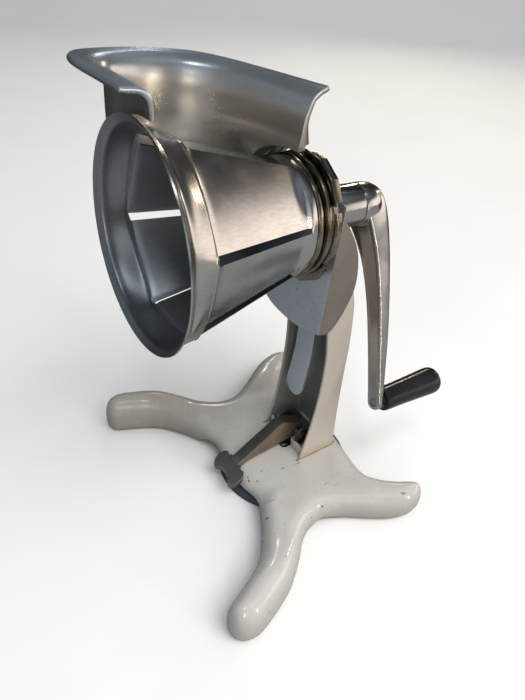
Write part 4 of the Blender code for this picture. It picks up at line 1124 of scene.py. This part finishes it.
# direction, width (cosine), colour: soft bright patches that only reflections see
PATCHES = (((0.45, 0.42, 0.79), 0.86, (0.20, 0.25, 0.30)),
           ((-0.40, 0.62, 0.68), 0.90, (0.38, 0.48, 0.56)),
           ((-1.0, 0.1, 0.25), 0.70, (0.07, 0.10, 0.13)),
           ((-0.2, -1.0, 0.3), 0.70, (0.18, 0.22, 0.27)))


def make_floor():
    """Pale floor that bends up into a wall; light and reflections see it darker."""
    n = Finish("floor_v", 0.0)
    pale = n.mottle(0.93, 0.96, 6, 2)
    table = n.mix(n.near(1, 0.12, 0.21), FLOOR_NEAR, FLOOR_FAR)
    unseen = n.mix(n.ray("Glossy"), FLOOR_DIFFUSE, table)
    m = n.done(n.mix(n.ray("Camera"), unseen, pale), n.mottle(0.75, 0.85, 30, 2))
    profile = [(-FLOOR_HALF, 0.0), (FLOOR_BACK, 0.0)]
    for deg in range(10, 91, 10):
        t = radians(deg)
        profile.append((FLOOR_BACK + FLOOR_BEND * sin(t), FLOOR_BEND - FLOOR_BEND * cos(t)))
    profile.append((FLOOR_BACK + FLOOR_BEND, WALL_TOP))
    me = bpy.data.meshes.new("floor")
    verts = [(x, y, z - FLOOR_DROP) for y, z in profile for x in (-FLOOR_HALF, FLOOR_HALF)]
    faces = [[2 * i, 2 * i + 1, 2 * i + 3, 2 * i + 2] for i in range(len(profile) - 1)]
    me.from_pydata(verts, [], faces)
    me.shade_smooth()
    me.materials.append(m)
    ob = place("floor", me)
    ob.rotation_euler = (0, 0, CAM_YAW)


def area(name, loc, size, power, color, target=HOPPER_AT):
    d = bpy.data.lights.new(name, 'AREA')
    d.shape, d.size, d.size_y, d.energy, d.color = 'RECTANGLE', size[0], size[1], power, color
    o = place(name, d)
    o.location = loc
    o.rotation_euler = (Vector(target) - Vector(loc)).to_track_quat('-Z', 'Y').to_euler()
    return o


def make_lights():
    """A broad soft light, and small ones for the highlights."""
    top = area("top", (1.0, 0.35, 1.75), (1.2, 1.2), 22, (1.0, 0.97, 0.93), OBJECT_AT)
    top.visible_glossy = False
    for row in SMALL_LIGHTS:
        area(*row)


def make_world():
    """Soft room for diffuse light, patchy for reflections, pale for the camera."""
    w = bpy.data.worlds.new("studio")
    bpy.context.scene.world = w
    w.use_nodes = True
    w.node_tree.nodes.clear()
    n = Tree(w.node_tree)
    direction = n.new("TexCoord").outputs["Generated"]

    def lobe(at, lo, hi, dark, bright):
        """Colour that goes smoothly from dark to bright as the direction turns towards at."""
        d = n.new("VectorMath")
        d.operation = 'DOT_PRODUCT'
        d.inputs[1].default_value = Vector(at).normalized()
        n.link(direction, d.inputs[0])
        return n.mix(n.between(d.outputs["Value"], lo, hi, kind='SMOOTHSTEP'), dark, bright)

    none, full = (0, 0, 0), (1, 1, 1)
    soft = n.mix(1.0, lobe((0.55, 0.45, 0.72), -0.30, 1.0, (0.03, 0.03, 0.03), (0.74, 0.745, 0.75)),
                 lobe((-1.0, -0.35, 0.45), 0.1, 1.0, none, (0.11, 0.15, 0.20)), 'ADD')
    horizon = lobe((0, 0, 1), 0.26, 0.43, full, none)
    warm_reflection = lobe((0.407, 0.914, 0), 0.74, 1.0, (0.09, 0.078, 0.07), (2.3, 2.03, 1.80))
    cool_reflection = lobe((0.80, -0.45, 0.39), 0.86, 1.0, (0.060, 0.063, 0.07), (0.62, 0.71, 0.80))
    room = n.mix(1.0, n.mix(1.0, horizon, warm_reflection, 'MULTIPLY'), cool_reflection, 'ADD')
    for at, width, colour in PATCHES:
        room = n.mix(1.0, room, lobe(at, width, 1.0, none, colour), 'ADD')
    seen = n.mix(n.ray("Camera"), n.mix(n.ray("Glossy"), soft, room), BACKGROUND)
    bg = n.new("Background", Strength=1.0)
    n.link(seen, bg.inputs["Color"])
    n.link(bg.outputs["Background"], n.new("OutputWorld").inputs["Surface"])


def make_camera():
    cy, sy = cos(CAM_YAW), sin(CAM_YAW)
    ahead = Vector((-sy * cos(CAM_PITCH), cy * cos(CAM_PITCH), -sin(CAM_PITCH)))
    level = Vector((cy, sy, 0))
    above = level.cross(ahead)
    right = level * cos(CAM_ROLL) + above * sin(CAM_ROLL)
    up = -level * sin(CAM_ROLL) + above * cos(CAM_ROLL)
    cd = bpy.data.cameras.new("camera")
    cd.sensor_width, cd.lens, cd.clip_start = CAM_SENSOR, CAM_LENS, CAM_NEAR
    co = place("camera", cd)
    co.matrix_world = Matrix.Translation(CAM_AT) @ Matrix((right, up, -ahead)).transposed().to_4x4()
    bpy.context.scene.camera = co


make_floor()
make_lights()
make_world()
make_camera()
bpy.context.scene.view_settings.view_transform = 'Standard'
